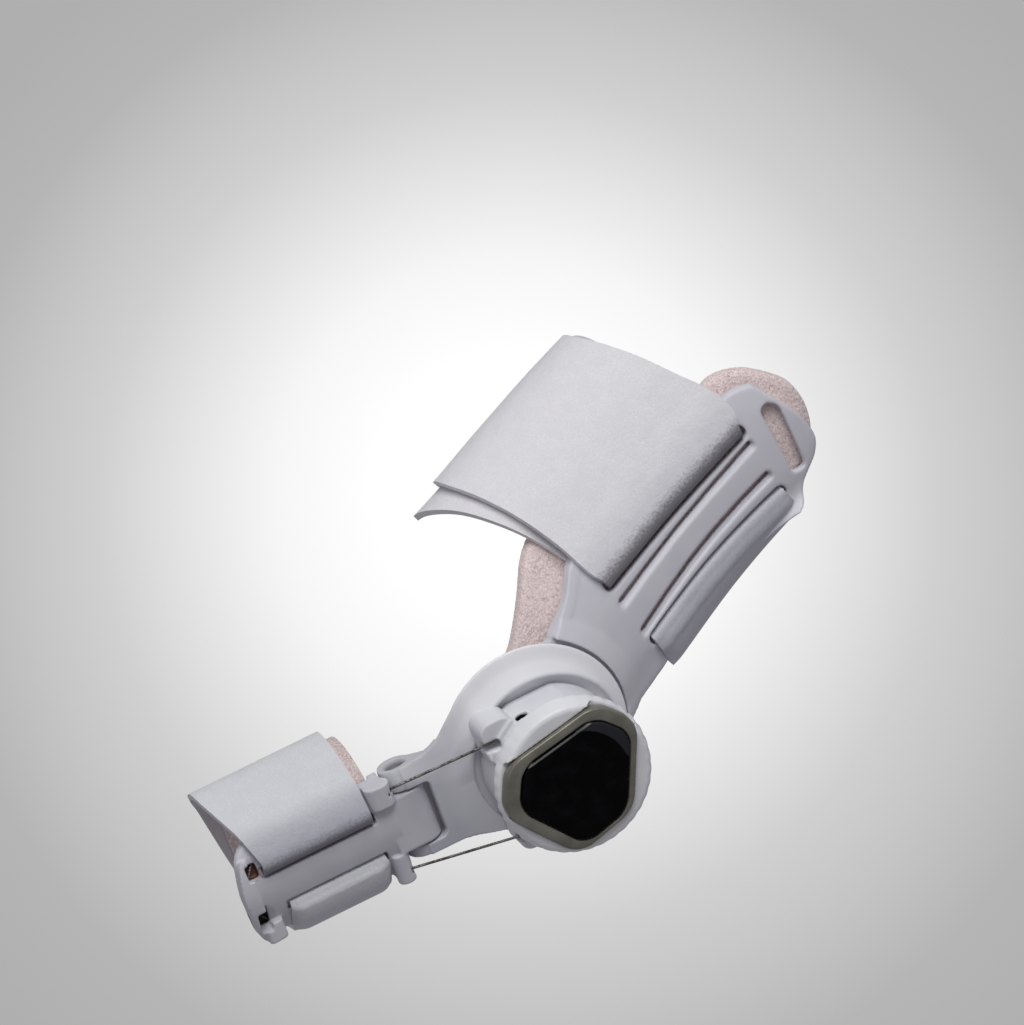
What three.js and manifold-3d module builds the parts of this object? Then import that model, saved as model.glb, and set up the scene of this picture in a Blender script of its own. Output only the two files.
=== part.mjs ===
// Bunion corrector for a right foot: a moulded plate strapped to the midfoot, a link hinged to it, a toe
// plate hinged to the link, and a dial that draws a steel cable to pull the big toe outward.
// Millimetres. +X runs to the heel, -Y away from the inner side of the foot, +Z to the top of the foot.
// The letter w stands for the distance outward from the face of the link disc, so y = -w before the whole
// is moved to its origin, the middle of the hollow for the midfoot.

import * as THREE from "three";
import Module from "manifold-3d";
import { mergeVertices } from "three/addons/utils/BufferGeometryUtils.js";

const wasm = await Module();
wasm.setup();

// Driving dimensions
const gap = 0.3;               // between pieces that touch
const runningGap = 0.4;        // between pieces that turn on each other

const discRadius = 23.4;       // link disc
const linkThickness = 2.5;
const forkLength = 34;         // disc centre to toe hinge axis
const windowLength = 5.5;      // from the toe hinge axis to the edge of the fork's window
const armTop = 8.5;            // upper arm, at the toe hinge
const armBottom = -15;         // lower arm, at the toe hinge
const upperArmHeight = 5.3;
const lowerArmHeight = 2.9;
const hingeDepth = 5;          // face of the disc to the toe hinge axis
const eyeletRadius = 4.5;
const toePinRadius = 1.6;
const toePinRecess = 1.8;      // end of the pin below the face of its eyelet
const pivotRadius = 5;         // rivet between disc and foot plate
const recessRadius = 19.2;     // sunk ring round the dial housing
const recessDepth = 1.2;

const dialX = 1.4;             // dial axis, seen from the disc centre
const dialZ = -3.9;
const housingRadius = 17.2;
const housingHeight = 14.2;
const housingFlat = 16.2;      // dial axis to the flat on top of the housing
const guideLength = 9;         // block that the cable comes out of
const guideWidth = 11;
const lowerGuideWidth = 7;
const guideHeight = 10;
const dialRadius = 19.7;
const dialFrontRadius = 18.4;
const dialRimHeight = 1.8;
const dialHeight = 5.6;
const bezelHeight = 3.4;
const bezelStand = 1.2;        // bezel above the ring
const insertThickness = 1.5;
const insertStand = 0.3;       // insert above the bezel

const flexAngle = 18;          // foot side lifted about the disc centre, degrees
const plateThickness = 2.2;
const padThickness = 3.5;
const strapThickness = 1.6;
const footWidth = 79;          // midfoot under the strap
const footCrest = 41.5;        // top of the midfoot above the disc centre line
const footSole = 18;           // sole below it
const plateLength = 100;       // disc centre to the heel end of the foot plate
const slotLength = 51;
const slotHeel = 87;           // disc centre to the heel end of the slots
const strapSlotWidth = 3.6;
const ventWidth = 2;
const upperSlot = 12.8;        // strap slots above and below the disc centre line
const lowerSlot = -6.2;
const upperVent = 8;
const lowerVent = -1.4;
const upperBar = 7;            // plate above the upper slot
const lowerRail = 5;           // plate below the lower slot
const strapLean = 14;          // strap forward at the crest

const toeRadius = 15;          // inside of the toe lining
const toeAxisDepth = 20;       // face of the disc to the middle of the toe
const toeAxisZ = -3.25;
const liningThickness = 1.5;
const toeStrapThickness = 1.4;
const toePlateThickness = 2;
const toeStrapWidth = 29;
const toeFront = 47.8;         // toe hinge axis to the front rim
const toeRimHeight = 1.8;      // front rim above the toe plate
const toeUpperSlot = 10.6;     // angles about the toe, from the outward direction, degrees
const toeLowerSlot = -20.8;
const toeSlotAngle = 8.5;
const toeUpperBar = 33;
const toeLowerRail = -46;

const cableRadius = 0.4;
const cableBoreRadius = 0.6;   // in the toe plate
const guideBoreRadius = 1;     // in the blocks on the dial housing

const around = 48;             // facets on large rounds

const plastic = { color: 0xd2d3d8, roughness: 0.45 };
const materials = {
  link: new THREE.MeshStandardMaterial(plastic),
  plate: new THREE.MeshStandardMaterial({ color: 0xb4b3b9, roughness: 0.5 }),
  toePlate: new THREE.MeshStandardMaterial({ color: 0xb9b9c0, roughness: 0.5 }),
  dial: new THREE.MeshStandardMaterial({ color: 0xdfe1e1, roughness: 0.4 }),
  bezel: new THREE.MeshStandardMaterial({ color: 0x85837b, roughness: 0.35 }),
  insert: new THREE.MeshStandardMaterial({ color: 0x050506, roughness: 0.08 }),
  strap: new THREE.MeshStandardMaterial({ color: 0xd8dade, roughness: 0.95 }),
  lining: new THREE.MeshStandardMaterial({ color: 0xc9b6b8, roughness: 0.95 }),
  pin: new THREE.MeshStandardMaterial({ color: 0xb9b9c0, roughness: 0.4 }),
  cable: new THREE.MeshStandardMaterial({ color: 0x4a4744, roughness: 0.35, metalness: 0.9 }),
};

const degrees = THREE.MathUtils.degToRad;
const lerp = THREE.MathUtils.lerp;

// Solids from three.js geometry, and back
function solid(geometry) {
  geometry.deleteAttribute("normal");
  geometry.deleteAttribute("uv");
  const merged = mergeVertices(geometry, 1e-4);
  return new wasm.Manifold(new wasm.Mesh({
    numProp: 3,
    vertProperties: merged.attributes.position.array,
    triVerts: new Uint32Array(merged.index.array),
  }));
}

function mesh(name, shape, material) {
  const data = shape.getMesh();
  const geometry = new THREE.BufferGeometry();
  geometry.setAttribute("position", new THREE.BufferAttribute(data.vertProperties, 3));
  geometry.setIndex(new THREE.BufferAttribute(data.triVerts, 1));
  geometry.computeVertexNormals();
  const piece = new THREE.Mesh(geometry, material);
  piece.name = name;
  return piece;
}

function union(...shapes) {
  return shapes.reduce((sum, shape) => sum.add(shape));
}

// A flat outline in x and z, drawn out from one w to another
function outward(shape, wFrom, wTo, curveSegments = 12) {
  const geometry = new THREE.ExtrudeGeometry(shape, { depth: wTo - wFrom, bevelEnabled: false, curveSegments });
  geometry.rotateX(Math.PI / 2);
  geometry.translate(0, -wFrom, 0);
  return solid(geometry);
}

// A flat outline in w and z, drawn along x
function lengthwise(shape, xFrom, xTo, curveSegments = 12) {
  const geometry = new THREE.ExtrudeGeometry(shape, { depth: xTo - xFrom, bevelEnabled: false, curveSegments });
  geometry.rotateX(Math.PI / 2);
  geometry.rotateZ(-Math.PI / 2);
  geometry.translate(xTo, 0, 0);
  return solid(geometry);
}

function box(xFrom, xTo, wFrom, wTo, zFrom, zTo) {
  const geometry = new THREE.BoxGeometry(xTo - xFrom, wTo - wFrom, zTo - zFrom);
  geometry.translate((xFrom + xTo) / 2, -(wFrom + wTo) / 2, (zFrom + zTo) / 2);
  return solid(geometry);
}

function upright(radius, x, w, zFrom, zTo, facets = 28) {
  const geometry = new THREE.CylinderGeometry(radius, radius, zTo - zFrom, facets);
  geometry.rotateX(Math.PI / 2);
  geometry.translate(x, -w, (zFrom + zTo) / 2);
  return solid(geometry);
}

function outwardRound(radius, x, z, wFrom, wTo, facets = around) {
  const geometry = new THREE.CylinderGeometry(radius, radius, wTo - wFrom, facets);
  geometry.translate(x, -(wFrom + wTo) / 2, z);
  return solid(geometry);
}

function rounded(corners, radius) {
  const shape = new THREE.Shape();
  corners.forEach((corner, i) => {
    const point = new THREE.Vector2(...corner);
    const before = new THREE.Vector2(...corners.at(i - 1)).sub(point);
    const after = new THREE.Vector2(...corners[(i + 1) % corners.length]).sub(point);
    const start = before.clone().setLength(Math.min(radius, before.length() / 2.2)).add(point);
    const end = after.clone().setLength(Math.min(radius, after.length() / 2.2)).add(point);
    if (i === 0) shape.moveTo(start.x, start.y);
    else shape.lineTo(start.x, start.y);
    shape.quadraticCurveTo(point.x, point.y, end.x, end.y);
  });
  shape.closePath();
  return shape;
}

function slotShape(x0, z0, x1, z1, width) {
  const along = new THREE.Vector2(x1 - x0, z1 - z0).normalize().multiplyScalar(width / 2);
  const corners = [
    [x0 - along.y, z0 + along.x],
    [x0 + along.y, z0 - along.x],
    [x1 + along.y, z1 - along.x],
    [x1 - along.y, z1 + along.x],
  ];
  return rounded(corners, width * 0.4);
}

// A closed shell from an outer and an inner grid of points, each grid[i][j]
function shell(outer, inner) {
  const rows = outer.length;
  const columns = outer[0].length;
  const points = [...outer.flat(), ...inner.flat()];
  const at = (side, i, j) => side * rows * columns + i * columns + j;
  const faces = [];
  const quad = (a, b, c, d) => faces.push(a, b, c, a, c, d);
  for (let i = 0; i < rows - 1; i += 1) {
    for (let j = 0; j < columns - 1; j += 1) {
      quad(at(0, i, j), at(0, i + 1, j), at(0, i + 1, j + 1), at(0, i, j + 1));
      quad(at(1, i, j), at(1, i, j + 1), at(1, i + 1, j + 1), at(1, i + 1, j));
    }
    quad(at(0, i + 1, 0), at(0, i, 0), at(1, i, 0), at(1, i + 1, 0));
    quad(at(0, i, columns - 1), at(0, i + 1, columns - 1), at(1, i + 1, columns - 1), at(1, i, columns - 1));
  }
  for (let j = 0; j < columns - 1; j += 1) {
    quad(at(0, 0, j), at(0, 0, j + 1), at(1, 0, j + 1), at(1, 0, j));
    quad(at(0, rows - 1, j + 1), at(0, rows - 1, j), at(1, rows - 1, j), at(1, rows - 1, j + 1));
  }
  const geometry = new THREE.BufferGeometry();
  geometry.setAttribute("position", new THREE.Float32BufferAttribute(points.flatMap((p) => [p.x, p.y, p.z]), 3));
  geometry.setIndex(faces);
  return solid(geometry);
}

// Rows of a table read at a place between them, each column smooth from row to row
function smoothRow(rows, place) {
  const index = Math.min(Math.floor(place), rows.length - 2);
  const t = place - index;
  const four = [index - 1, index, index + 1, index + 2].map((k) => rows[THREE.MathUtils.clamp(k, 0, rows.length - 1)]);
  const blend = (key) => {
    const [p0, p1, p2, p3] = four.map((row) => row[key]);
    const slope1 = (p2 - p0) / 2;
    const slope2 = (p3 - p1) / 2;
    const rise = p2 - p1;
    return p1 + t * (slope1 + t * (3 * rise - 2 * slope1 - slope2 + t * (slope1 + slope2 - 2 * rise)));
  };
  return Object.fromEntries(Object.keys(rows[0]).map((key) => [key, blend(key)]));
}

// A strap of even thickness along a table of rows. locate(row, share) gives the middle of the strap's
// thickness at a share of its width.
function ribbon(rows, thickness, locate, steps, columns) {
  const middle = [];
  for (let i = 0; i <= (rows.length - 1) * steps; i += 1) {
    const row = smoothRow(rows, i / steps);
    middle.push(Array.from({ length: columns + 1 }, (_, j) => locate(row, j / columns)));
  }
  const side = (sign) => middle.map((line, i) => line.map((point, j) => {
    const along = middle[Math.min(i + 1, middle.length - 1)][j].clone().sub(middle[Math.max(i - 1, 0)][j]);
    const across = line[Math.min(j + 1, columns)].clone().sub(line[Math.max(j - 1, 0)]);
    return along.cross(across).setLength(sign * thickness / 2).add(point);
  }));
  return shell(side(1), side(-1));
}

// Hinge link: a disc over the foot plate, and a fork whose two deep arms end in the eyelets of the toe hinge
const plateLift = strapThickness + gap;
const formDepth = linkThickness + gap + plateThickness + plateLift;   // face of the disc to the midfoot form
const windowX = -forkLength + windowLength;
const windowTop = armTop - upperArmHeight;
const windowBottom = armBottom + lowerArmHeight;
const armRoot = -discRadius - 1;

function hingeLink() {
  const fork = new THREE.Shape();
  fork.moveTo(-forkLength, armTop);
  fork.lineTo(armRoot, armTop + 1);
  fork.quadraticCurveTo(-discRadius * 0.82, armTop + 2.5, -discRadius * 0.6, discRadius * 0.8);
  fork.lineTo(0, discRadius * 0.8);
  fork.lineTo(0, -discRadius * 0.75);
  fork.lineTo(-discRadius * 0.6, -discRadius * 0.78);
  fork.quadraticCurveTo(-discRadius * 0.8, armBottom - 1, armRoot, armBottom);
  fork.lineTo(-forkLength, armBottom);
  fork.closePath();
  const web = union(
    outward(fork, -linkThickness, 0),
    outwardRound(discRadius, 0, 0, -linkThickness, 0),
  ).subtract(box(-forkLength - eyeletRadius, windowX, -linkThickness - 1, 1, windowBottom, windowTop));
  const arm = (zFrom, zTo) => union(
    box(-forkLength, armRoot, -hingeDepth - eyeletRadius + 1, 0, zFrom, zTo),
    upright(eyeletRadius, -forkLength, -hingeDepth, zFrom, zTo),
  );
  const bore = upright(toePinRadius + gap, -forkLength, -hingeDepth, armBottom - 1, armTop + 1);
  const recess = outwardRound(recessRadius, dialX, dialZ, -recessDepth, 1);
  return union(web, arm(windowTop, armTop), arm(armBottom, windowBottom))
    .subtract(bore)
    .subtract(recess)
    .subtract(outwardRound(pivotRadius + gap, 0, 0, -linkThickness - 1, 1));
}

// Plain pins: the toe hinge's, inside its eyelets, and the rivet that holds the foot plate under the disc
function toePin() {
  return upright(toePinRadius, -forkLength, -hingeDepth, armBottom + toePinRecess, armTop - toePinRecess, 20);
}

function pivotRivet() {
  const headTop = -formDepth + plateLift - 4 * gap;
  const headBottom = -formDepth + gap / 3;
  return union(
    outwardRound(pivotRadius, 0, 0, headBottom, -recessDepth, 32),
    outwardRound(pivotRadius + 1.5, 0, 0, headBottom, headTop, 32),
  );
}

// Dial housing: a drum on the link with a flat on top, and two blocks on its toe side for the cable
const cableStart = { x: dialX - 11.8, w: 8, upper: 12.7, lower: -13.5 };
const cableEndX = -forkLength - 7;
const cableEnds = { upper: { w: -0.5, rise: 8.8 }, lower: { w: -2.2, rise: -13.4 } };

function cableLine(side) {
  const place = side > 0 ? cableEnds.upper : cableEnds.lower;
  const rise = side > 0 ? cableStart.upper : cableStart.lower;
  const start = new THREE.Vector3(cableStart.x, -cableStart.w, dialZ + rise);
  const end = new THREE.Vector3(cableEndX, -place.w, toeAxisZ + place.rise);
  return { start, end };
}

function tube(points, radius, steps) {
  const section = new THREE.Shape();
  section.absarc(0, 0, radius, 0, 2 * Math.PI);
  const path = new THREE.CatmullRomCurve3(points, false, "centripetal");
  return solid(new THREE.ExtrudeGeometry(section, { steps, extrudePath: path, curveSegments: 4, bevelEnabled: false }));
}

function straightTube(start, end, radius, before, after) {
  const along = end.clone().sub(start).normalize();
  const from = start.clone().addScaledVector(along, -before);
  const to = end.clone().addScaledVector(along, after);
  return tube([from, from.clone().lerp(to, 0.5), to], radius, 2);
}

function dialHousing() {
  const base = gap - recessDepth;
  const drum = outwardRound(housingRadius, dialX, dialZ, base, housingHeight)
    .subtract(box(dialX - 30, dialX + 30, base - 1, housingHeight + 1, dialZ + housingFlat, dialZ + 30));
  const guide = (side) => {
    const middleX = cableStart.x;
    const middleZ = dialZ + (side > 0 ? cableStart.upper : cableStart.lower);
    const half = (side > 0 ? guideWidth : lowerGuideWidth) / 2;
    const outline = rounded([
      [middleX - guideLength / 2, middleZ - half],
      [middleX + guideLength / 2, middleZ - half],
      [middleX + guideLength / 2, middleZ + half],
      [middleX - guideLength / 2, middleZ + half],
    ], 3.2);
    return outward(outline, gap, guideHeight, 4);
  };
  const lowerCut = outwardRound(discRadius * 2, dialX, dialZ, guideHeight - 1, guideHeight)
    .subtract(outwardRound(dialRadius - 1, dialX, dialZ, guideHeight - 2, guideHeight + 1));
  const bores = [1, -1].map((side) => {
    const { start, end } = cableLine(side);
    const middleZ = start.z - side * 0.2;
    const notch = box(start.x - guideLength, start.x - 0.5, cableStart.w - 1.6, guideHeight + 1, middleZ - 1.2, middleZ + 1.2);
    return straightTube(start, end, guideBoreRadius, 2, 0).add(notch);
  });
  return union(drum, guide(1), guide(-1)).subtract(lowerCut).subtract(union(...bores));
}

// Dial: a rimmed ring, a six-sided bezel let into it, and a glossy insert let into the bezel.
// Each row is one straight side: the way it faces, its distance from the axis, and how far the insert stays in.
const bezelSides = [
  { facing: 101, reach: 14.2, inset: 2.7 },
  { facing: 42, reach: 18.6, inset: 3.4 },
  { facing: -22, reach: 14.1, inset: 1.9 },
  { facing: -75, reach: 15.4, inset: 1.4 },
  { facing: -142, reach: 15.8, inset: 3.1 },
  { facing: 156, reach: 18.6, inset: 4 },
];
const bezelScale = dialRadius / 19.7;
const dialBase = housingHeight + runningGap;
const bezelBase = dialBase + dialHeight + bezelStand - bezelHeight;
const bezelFace = bezelBase + bezelHeight;

function sixSided(grow, useInset, radius) {
  const lines = bezelSides.map((side) => ({
    angle: degrees(side.facing),
    reach: side.reach * bezelScale + grow - (useInset ? side.inset * bezelScale : 0),
  }));
  const corners = lines.map((line, i) => {
    const next = lines[(i + 1) % lines.length];
    const spread = Math.sin(next.angle - line.angle);
    return [
      dialX + (line.reach * Math.sin(next.angle) - next.reach * Math.sin(line.angle)) / spread,
      dialZ + (next.reach * Math.cos(line.angle) - line.reach * Math.cos(next.angle)) / spread,
    ];
  });
  return rounded(corners, radius);
}

function dialRing() {
  const profile = [
    [0, 0], [dialRadius, 0], [dialRadius, dialRimHeight], [dialFrontRadius, dialHeight], [0, dialHeight],
  ].map(([r, h]) => new THREE.Vector2(r, h));
  const geometry = new THREE.LatheGeometry(profile, around);
  geometry.rotateX(Math.PI);
  geometry.translate(dialX, -dialBase, dialZ);
  return solid(geometry).subtract(outward(sixSided(gap, false, 4), bezelBase - gap, bezelFace + 1, 5));
}

function dialBezel() {
  return outward(sixSided(0, false, 4), bezelBase, bezelFace, 5)
    .subtract(outward(sixSided(gap, true, 3.5), bezelFace + insertStand - insertThickness - gap, bezelFace + 1, 5));
}

function dialInsert() {
  const top = bezelFace + insertStand;
  return outward(sixSided(0, true, 3.5), top - insertThickness, top, 5);
}

// Midfoot form: closed sections across the foot, which the pad, plate and strap follow.
// In these sections a runs to the heel and c upward, both turned by flexAngle about the disc centre.
// Each row is a point on the section: its level, plus shares of the rise to the crest and of the drop to the
// sole, and its share of the width.
const middleLevel = (upperSlot + lowerSlot) / 2;
const formRows = [
  { level: lowerSlot, rise: 0, drop: 0, across: 0.01 },
  { level: middleLevel, rise: 0, drop: 0, across: 0 },
  { level: upperSlot, rise: 0, drop: 0, across: 0.018 },
  { level: upperSlot, rise: 0.4, drop: 0, across: 0.085 },
  { level: upperSlot, rise: 0.8, drop: 0, across: 0.2 },
  { level: upperSlot, rise: 1, drop: 0, across: 0.42 },
  { level: upperSlot, rise: 0.72, drop: 0, across: 0.68 },
  { level: upperSlot, rise: 0.34, drop: 0, across: 0.91 },
  { level: middleLevel, rise: 0, drop: 0, across: 1 },
  { level: lowerSlot, rise: 0, drop: 0.55, across: 0.94 },
  { level: lowerSlot, rise: 0, drop: 1, across: 0.72 },
  { level: lowerSlot, rise: 0, drop: 0.93, across: 0.42 },
  { level: lowerSlot, rise: 0, drop: 0.9, across: 0.17 },
  { level: lowerSlot, rise: 0, drop: 0.5, across: 0.05 },
];
// Stations along the foot: how far the inner side has moved away from the disc, as a share of the plate's
// length, and the shares of the named width, crest and sole.
const stations = [
  { along: -0.3, away: 0, width: 1, crest: 0.95, sole: 1.1 },
  { along: 0, away: 0, width: 1, crest: 0.98, sole: 1.1 },
  { along: 0.2, away: 0.006, width: 1.02, crest: 1, sole: 1.08 },
  { along: 0.4, away: 0.07, width: 1, crest: 1, sole: 1 },
  { along: 0.6, away: 0.132, width: 0.97, crest: 1, sole: 0.9 },
  { along: 0.8, away: 0.176, width: 0.94, crest: 1, sole: 0.8 },
  { along: 1.05, away: 0.214, width: 0.9, crest: 1.02, sole: 0.72 },
];

// Rows of a table read at a value of the column that orders them
function lookUp(rows, key, value) {
  const held = THREE.MathUtils.clamp(value, rows[0][key], rows.at(-1)[key]);
  let index = rows.findIndex((row) => row[key] > held) - 1;
  if (index < 0) index = rows.length - 2;
  const t = (held - rows[index][key]) / (rows[index + 1][key] - rows[index][key]);
  return smoothRow(rows, index + t);
}

function station(a) {
  return lookUp(stations, "along", a / plateLength);
}

// Section curve at a, as a closed curve in c (x of the curve) and w (y of the curve)
function section(a) {
  const here = station(a);
  const points = formRows.map((row) => new THREE.Vector3(
    row.level + row.rise * (footCrest * here.crest - upperSlot) - row.drop * (footSole * here.sole + lowerSlot),
    -formDepth - here.away * plateLength - row.across * footWidth * here.width,
    0,
  ));
  return new THREE.CatmullRomCurve3(points, true, "centripetal");
}

const sectionCache = new Map();

// Point at a, at a place among the rows of the section, lifted outward from it
function onForm(a, place, lift) {
  const key = a.toFixed(3);
  if (!sectionCache.has(key)) sectionCache.set(key, section(a));
  const curve = sectionCache.get(key);
  const share = THREE.MathUtils.euclideanModulo(place / formRows.length, 1);
  const step = 0.002;
  const here = curve.getPoint(share);
  const ahead = curve.getPoint(THREE.MathUtils.euclideanModulo(share + step, 1));
  const behind = curve.getPoint(THREE.MathUtils.euclideanModulo(share - step, 1));
  const tangent = ahead.sub(behind).normalize();
  const c = here.x - tangent.y * lift;
  const w = here.y + tangent.x * lift;
  return new THREE.Vector3(a, -w, c);
}

function range(from, to, count) {
  return Array.from({ length: count + 1 }, (_, i) => lerp(from, to, i / count));
}

// A shell on the inner side of the form, between two lifts
function sideShell(aFrom, aTo, placeFrom, placeTo, liftFrom, liftTo) {
  const grid = (lift) => range(aFrom, aTo, 18).map((a) => range(placeFrom, placeTo, 12).map((place) => onForm(a, place, lift)));
  return shell(grid(liftTo), grid(liftFrom));
}

const slotFront = slotHeel - slotLength;
const plateOuterLift = plateLift + plateThickness;

// Foot plate: neck under the disc, ear at the front, bar and rail beside the strap slots, round heel end
function footPlateOutline() {
  const top = upperSlot + strapSlotWidth / 2 + upperBar;
  const bottom = lowerSlot - strapSlotWidth / 2 - lowerRail;
  const shape = new THREE.Shape();
  shape.moveTo(discRadius * 0.55, discRadius * 0.64);
  shape.quadraticCurveTo(discRadius * 0.95, discRadius * 0.68, slotFront - 4, top - 0.5);
  shape.quadraticCurveTo(slotFront - 2, top + 1.5, slotFront + 1, top + 1);
  shape.lineTo(plateLength - 10, top - 0.5);
  shape.quadraticCurveTo(plateLength - 5, top - 1, plateLength - 3.5, top - 6);
  shape.lineTo(plateLength, upperSlot - 8);
  shape.quadraticCurveTo(plateLength + 0.5, upperSlot - 13, plateLength - 4, lowerSlot);
  shape.lineTo(slotHeel + 2, lowerSlot - 3);
  shape.quadraticCurveTo(slotHeel - 1, bottom, slotHeel - 6, bottom);
  shape.lineTo(slotFront - 2, bottom - 1);
  shape.quadraticCurveTo(discRadius * 1.1, bottom - 2, discRadius * 0.6, -discRadius * 0.7);
  shape.lineTo(0, -discRadius * 0.8);
  shape.absarc(0, 0, discRadius * 0.8, -Math.PI / 2, Math.PI / 2, true);
  shape.closePath();
  return shape;
}

function footPlate() {
  const body = sideShell(-discRadius, plateLength + 4, -1.4, 3.4, plateLift, plateOuterLift)
    .intersect(outward(footPlateOutline(), -60, 5, 10));
  const cuts = [
    slotShape(slotFront, upperSlot, slotHeel, upperSlot, strapSlotWidth),
    slotShape(slotFront, upperVent - 0.8, slotHeel - 0.5, upperVent + 0.8, ventWidth),
    slotShape(slotFront - 0.5, lowerVent - 1, slotHeel - 2, lowerVent + 1, ventWidth),
    slotShape(slotFront, lowerSlot, slotHeel, lowerSlot, strapSlotWidth),
    slotShape(plateLength - 8.6, -4, plateLength - 5.3, upperSlot - 0.6, 4.2),
  ].map((shape) => outward(shape, -60, 5, 3));
  return body
    .subtract(union(...cuts))
    .subtract(outwardRound(pivotRadius + gap, 0, 0, -60, 5));
}

// Foot pad: lining between plate and foot, past the plate at the front of the ear and round the heel end
function footPadOutline() {
  const shape = new THREE.Shape();
  shape.moveTo(11, discRadius * 0.66);
  shape.quadraticCurveTo(23, 23, 29, 29.5);
  shape.quadraticCurveTo(40, 30, 52, 27);
  shape.lineTo(plateLength - 24, 24.5);
  shape.quadraticCurveTo(plateLength - 9, 25.5, plateLength - 1, 17);
  shape.quadraticCurveTo(plateLength + 4.5, 10, plateLength + 2, 3);
  shape.quadraticCurveTo(plateLength - 1, -7, plateLength - 12, -9);
  shape.lineTo(slotFront, -13);
  shape.quadraticCurveTo(discRadius, -15, 8, -discRadius * 0.75);
  shape.quadraticCurveTo(-discRadius * 0.6, -discRadius * 0.7, -discRadius * 0.6, 0);
  shape.quadraticCurveTo(-discRadius * 0.6, discRadius * 0.58, 11, discRadius * 0.66);
  shape.closePath();
  return shape;
}

function footPad() {
  return sideShell(-discRadius, plateLength + 5, -1.5, 3.9, -gap - padThickness, -gap)
    .intersect(outward(footPadOutline(), -70, 0, 8));
}

// Midfoot strap: from its hidden end under the sole up inside the rail, out through the lower slot, round the
// foot, in through the upper slot and back over the foot under itself.
// turn counts rows of the section, lift is to the middle of the strap, fore widens the front edge.
const inside = strapThickness / 2;
const between = plateLift + plateThickness / 2;
const outside = plateOuterLift + gap + strapThickness / 2;
const doubled = strapThickness * 1.5 + gap;
const full = formRows.length;
const upperTurn = 1 / (formRows[3].rise * (footCrest - upperSlot));    // one millimetre beside each slot
const lowerTurn = 1 / (formRows.at(-1).drop * (footSole + lowerSlot));
const footStrapRows = [
  { turn: -2.9, lift: inside, fore: 0 },
  { turn: -1.9, lift: inside, fore: 0 },
  { turn: -1, lift: inside, fore: 0 },
  { turn: -2.2 * lowerTurn, lift: inside, fore: 0 },
  { turn: -1.2 * lowerTurn, lift: inside, fore: 0 },
  { turn: 0.35 * lowerTurn, lift: inside + 0.7, fore: 0 },
  { turn: 0.7 * lowerTurn, lift: between, fore: 0 },
  { turn: 0.35 * lowerTurn, lift: outside - 0.5, fore: 0 },
  { turn: -1.2 * lowerTurn, lift: outside + 0.25, fore: 0 },
  { turn: -2.4 * lowerTurn, lift: outside, fore: 0 },
  { turn: -0.75, lift: outside, fore: 0 },
  { turn: -1.15, lift: outside - 0.3, fore: 0 },
  { turn: -1.9, lift: doubled + 0.5, fore: 0 },
  { turn: -2.9, lift: doubled, fore: 0 },
  { turn: -3.6, lift: inside + 0.4, fore: 0 },
  { turn: -4.5, lift: inside, fore: 0 },
  { turn: -5.5, lift: inside, fore: 0 },
  { turn: -6.5, lift: inside, fore: 0 },
  { turn: -7.4, lift: inside + 0.3, fore: 0 },
  { turn: -8.2, lift: doubled, fore: 0 },
  { turn: -9, lift: doubled, fore: 0 },
  { turn: -10, lift: doubled + 0.2, fore: 0 },
  { turn: -10.8, lift: outside - 1, fore: 0 },
  { turn: -11.3, lift: outside, fore: 0 },
  { turn: 2 + 2.4 * upperTurn - full, lift: outside, fore: 0 },
  { turn: 2 + 1.2 * upperTurn - full, lift: outside + 0.25, fore: 0 },
  { turn: 2 - 0.65 * upperTurn - full, lift: outside - 0.5, fore: 0 },
  { turn: 2 - 1.1 * upperTurn - full, lift: between, fore: 0 },
  { turn: 2 - 0.65 * upperTurn - full, lift: inside + 0.7, fore: 0 },
  { turn: 2 + 1.2 * upperTurn - full, lift: inside, fore: 0 },
  { turn: 2 + 2.2 * upperTurn - full, lift: inside, fore: 0.4 },
  { turn: -11.2, lift: inside, fore: 1.2 },
  { turn: -10.2, lift: inside, fore: 2.8 },
  { turn: -9.2, lift: inside, fore: 3.6 },
  { turn: -8.3, lift: inside, fore: 5.5 },
];
// How far the strap's front and back edges have moved forward, as shares of its lean, by rows of the section
const strapEdges = [
  { at: 0, front: 0, back: 0 },
  { at: 2, front: 0, back: 0 },
  { at: 2.3, front: 0.09, back: -0.14 },
  { at: 2.6, front: 0.13, back: -0.12 },
  { at: 3, front: 0.17, back: -0.02 },
  { at: 3.5, front: 0.27, back: 0.2 },
  { at: 4, front: 0.42, back: 0.42 },
  { at: 4.5, front: 0.63, back: 0.7 },
  { at: 5, front: 0.85, back: 0.97 },
  { at: 5.5, front: 0.91, back: 1.05 },
  { at: 6, front: 0.88, back: 1.02 },
  { at: 7, front: 0.6, back: 0.65 },
  { at: 8, front: 0.2, back: 0.22 },
  { at: 9, front: 0, back: 0 },
  { at: full, front: 0, back: 0 },
];
const strapFront = slotFront + 0.8;
const strapHeel = slotHeel - 1.2;

function footStrap() {
  const locate = (row, share) => {
    const edges = lookUp(strapEdges, "at", THREE.MathUtils.euclideanModulo(row.turn, full));
    const a = lerp(strapFront - row.fore - edges.front * strapLean, strapHeel - edges.back * strapLean, share);
    return onForm(a, row.turn, row.lift);
  };
  return ribbon(footStrapRows, strapThickness, locate, 2, 8);
}

// Toe pieces lie round the toe's axis, which runs along x. Angles start outward and turn upward.
const formRadius = toeRadius + liningThickness + gap;
const toePlateInner = formRadius + toeStrapThickness + gap;
const toePlateOuter = toePlateInner + toePlateThickness;
const toeFrontX = -forkLength - toeFront;
const toeRearX = -forkLength - eyeletRadius - 0.5;
const liningRearX = toeRearX - 2.4;
const toeSlotRearX = toeRearX - 5;
const toeSlotFrontX = toeSlotRearX - toeStrapWidth - 1.6;
const railInset = 3.5;

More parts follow.
